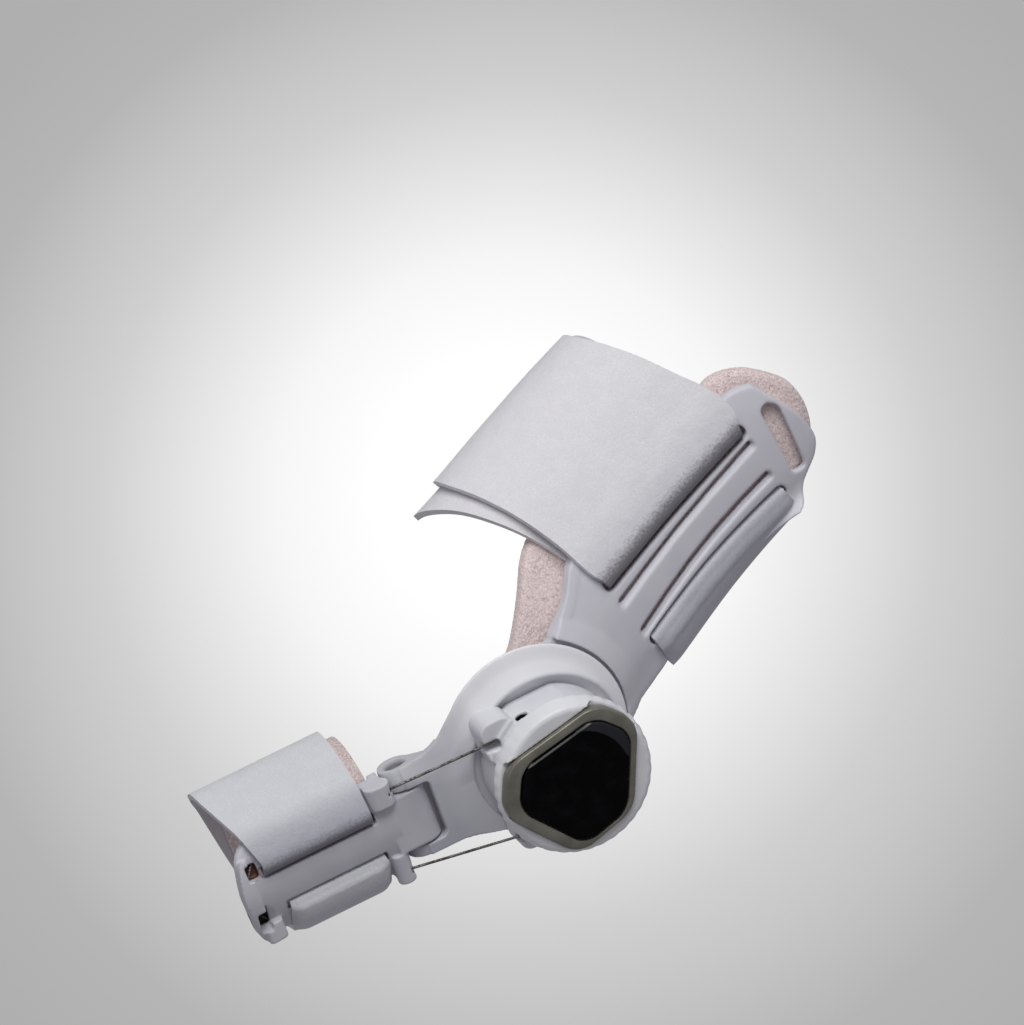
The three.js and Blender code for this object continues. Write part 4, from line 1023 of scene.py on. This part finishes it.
toe_cuts = [
    toe_sector(toe_front - 3, -41.1, 0.1, toe_inner, -179, 179, 96),
    level_slot(toe_slot_front, toe_slot_rear, upper_angle),
    level_slot(toe_slot_front + 3.5, toe_slot_rear, lower_angle),
    toe_sector(toe_front + 3.6, toe_front + 6.8, 19.0, 24, 10, 20, 8),
    toe_sector(toe_front + 2.4, toe_front + 5.4, 19.0, 24, -28, -12, 8),
    post(pin_bore, -16, 9)]
for start, end in (upper_cable, lower_cable):
    toe_cuts.append(round_bar(0.75, start, end, 16))
    back_along = (start - end).normalized()
    toe_cuts.append(round_bar(0.6, end, end + back_along * 2.6, 16, 1.9))
toe_plate = moulded("toe_plate_moulding", [carved(toe_solids, toe_cuts)], 0.3, 5)
put_on_link(toe_plate)
# Painted shade: the edges of the two windows are painted dark inside the wall, where the cable's channel
# opens
toe_grey = satin_plastic("toe_plate_grey", 0.42)
toe_tone_and_shade = toe_grey.blend(clouds(toe_grey), srgb(206, 205, 211), srgb(196, 195, 203))
off_toe = toe_grey.vector("SUBTRACT", toe_grey.place(), on_link((0, toe_depth, toe_z)))
from_toe = toe_grey.vector("LENGTH", toe_grey.vector("MULTIPLY", off_toe, (0, 1000, 1000)))
in_wall = (from_toe - 18.8).held(0, 0.1) * (20.6 - from_toe).held(0, 0.5)
for window_place, reach, dark in (((toe_front + 5.2, 1.2, 2.0), 3.4, srgb(92, 58, 48)),
                                  ((toe_front + 3.9, 2.4, -10.0), 4.2, srgb(40, 38, 38))):
    near_window = (reach - toe_grey.distance(on_link(window_place)) * 1000).held(0, 0.6)
    toe_tone_and_shade = toe_grey.blend(near_window * in_wall, toe_tone_and_shade, dark)
toe_grey.feed("Base Color", toe_tone_and_shade)
dress(toe_plate, toe_grey, "toe_side", ["toe_plate"])


# Toe lining
# A plain soft sleeve of pinkish towelling round the toe, inside the strap and the plate.
lining_inner, lining_outer = 15, 16.5
lining = loose_object("toe_lining_sleeve", [
    toe_sector(toe_front + 9.5, -41.4, lining_inner, lining_outer, -180, 180, 96)])
put_on_link(lining)
dress(lining, towelling, "toe_side", ["toe_lining"])


# Toe strap
# Brushed white cloth like the midfoot strap, narrower: out through the lower slot, round the toe, in through
# the upper slot and back under itself.
form_radius = 16.8
toe_thickness = 1.4
toe_strap_width = 29
toe_inside = toe_thickness / 2
toe_outside = toe_outer + 0.3 + toe_thickness / 2 - form_radius
toe_between = (toe_inner + toe_outer) / 2 - form_radius
toe_doubled = toe_thickness * 1.5 + 0.3
after_round = upper_angle - 360
# Angle round the toe, lift of the middle of the cloth, extra width at the front
toe_rows = (
    (-80, toe_inside, -3.5), (-60, toe_inside, -3.5), (-40, toe_inside, -3.5),
    (lower_angle - 6.2, toe_inside, -3.5), (lower_angle - 3, toe_inside, -3.5),
    (lower_angle - 1.2, toe_inside + 0.65, -3.5), (lower_angle - 0.2, toe_between, -3.5),
    (lower_angle - 0.4, toe_outside - 0.65, -3.5), (lower_angle - 3, toe_outside, -3.5),
    (lower_angle - 6.2, toe_outside, -3.5), (-38, toe_outside, -3.5), (-51, toe_outside - 0.2, -3.5),
    (-68, toe_doubled + 0.3, -3.5), (-88, toe_inside + 1, -2.6), (-110, toe_inside, -1.6),
    (-140, toe_inside, -0.5), (-175, toe_inside, 1), (-210, toe_inside, 3), (-240, toe_inside + 0.3, 5),
    (-262, toe_doubled, 5.5), (-285, toe_doubled, 5), (-306, toe_doubled + 0.5, 3.5),
    (-323, toe_outside - 0.1, 2), (-335, toe_outside, 0.8), (after_round + 6.2, toe_outside, 0),
    (after_round + 3, toe_outside, 0), (after_round + 0.2, toe_outside - 0.65, 0),
    (after_round - 0.6, toe_between, 0), (after_round + 0.2, toe_inside + 0.65, 0),
    (after_round + 3, toe_inside, 0), (after_round + 6.2, toe_inside, 0), (-330, toe_inside, 0),
    (-300, toe_inside, 0), (-272, toe_inside, 0))


def on_toe(row, share):
    """A point of the toe strap's middle layer, from its front edge to its heel edge by the share."""
    angle, lift, fore = row
    rear = toe_slot_rear - 0.8
    edge = max(0.0, 1 - min(share, 1 - share) * 12)
    puffed = min(max((lift - toe_between) / 1.5, 0), 1) * max(0.0, 1 - ((angle + 37) / 18) ** 2)
    radius = form_radius + lift + puffed * (1.5 - 2.6 * edge ** 1.5)
    return around_toe(rear - (toe_strap_width + fore) * (1 - share), angle, radius)


toe_strap, toe_runs = ribbon("toe_strap_cloth", toe_rows, 4, 20, on_toe, toe_thickness)
put_on_link(toe_strap)
# Painted shade: dark where the strap goes into the upper slot and out of the lower, a broad soft shade at the
# upper slot and a faint one low round the toe
toe_cloth = brushed_cloth("toe_strap_cloth", srgb(218, 219, 223), srgb(212, 213, 217), (
    (toe_runs[26], 3.6, 0.8), (toe_runs[7], 1.0, 0.3)), (
    (toe_runs[26], 12, 0.62), (toe_runs[10], 6, 0.15)))
dress(toe_strap, toe_cloth, "toe_side", ["toe_strap"])


# Steel cable
# Thin stranded steel cable. An upper and a lower run cross from the dial's housing to the toe plate, and a
# loop lies inside the plate, showing at the front rim.
def stranded(name, route, radius, pitch=2.6):
    """A cable drawn out along its route, with three faint lobes that wind round it."""
    facets = 12
    rope = bmesh.new()
    lengths = [0.0]
    for before, after in zip(route, route[1:]):
        lengths.append(lengths[-1] + (after - before).length)

    def ring_places(index):
        ahead = route[min(index + 1, len(route) - 1)] - route[max(index - 1, 0)]
        turn = ahead.to_track_quat("Z", "Y")
        wind = 2 * math.pi * lengths[index] / pitch
        places = []
        for k in range(facets):
            angle = 2 * math.pi * k / facets
            reach = radius * (0.985 + 0.015 * math.cos(3 * angle - wind))
            places.append(route[index] + turn @ Vector((reach * math.cos(angle), reach * math.sin(angle), 0)))
        return places

    face = rope.faces.new([rope.verts.new(place) for place in ring_places(0)])
    ring_now = list(face.verts)
    for index in range(1, len(route)):
        drawn = bmesh.ops.extrude_face_region(rope, geom=[face])["geom"]
        face = next(item for item in drawn if isinstance(item, bmesh.types.BMFace))
        ring_now = twins(ring_now, face.verts)
        for vertex, place in zip(ring_now, ring_places(index)):
            vertex.co = place
    return new_object(name, outward(rope))


cable_radius = 0.34
steel = Finish("cable_steel", 0.34, metallic=0.85)
steel.feed("Base Color", steel.blend(steel.grain(0.003, 2.0).held(0.35, 0.65), srgb(150, 147, 142),
                                     srgb(92, 89, 84)))
steel.feed("Roughness", 0.26 + 0.2 * steel.grain(0.0005, 2.0))
for name, (start, end) in (("cable_upper", upper_cable), ("cable_lower", lower_cable)):
    run_length = (end - start).length
    steps = int(run_length / 0.35)
    cable = stranded(name + "_wire", [start.lerp(end, k / steps) for k in range(steps + 1)], cable_radius)
    put_on_link(cable)
    cable.data.materials.append(steel.material)
    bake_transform(cable)
    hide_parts(name)


def smooth_route(points, per_span):
    """A smooth curve through points."""
    route = []
    for index in range(len(points) - 1):
        p0, p1, p2, p3 = (points[min(max(k, 0), len(points) - 1)] for k in range(index - 1, index + 3))
        for step in range(per_span):
            t = step / per_span
            route.append(0.5 * (2 * p1 + (p2 - p0) * t + (2 * p0 - 5 * p1 + 4 * p2 - p3) * t * t
                                + (3 * p1 - p0 - 3 * p2 + p3) * t ** 3))
    return route + [points[-1]]


# From boss to boss through the plate: place along the toe and angle round it
loop_places = (
    (-43.6, 24), (-47, 22), (toe_front + 10.6, 22), (toe_front + 4.8, 14), (toe_front + 3.6, -5),
    (toe_front + 4.8, -25), (toe_front + 10.6, -33), (-47, -33), (-43.6, -35))
into_plate = Vector((-0.5, 0, 0))
turns = [upper_cable[1] + into_plate, *(around_toe(x, angle, toe_cable_radius) for x, angle in loop_places),
         lower_cable[1] + into_plate]
loop_wire = stranded("cable_loop_wire", smooth_route(turns, 16), cable_radius)
put_on_link(loop_wire)
dress(loop_wire, steel, "toe_side", ["cable_loop"])
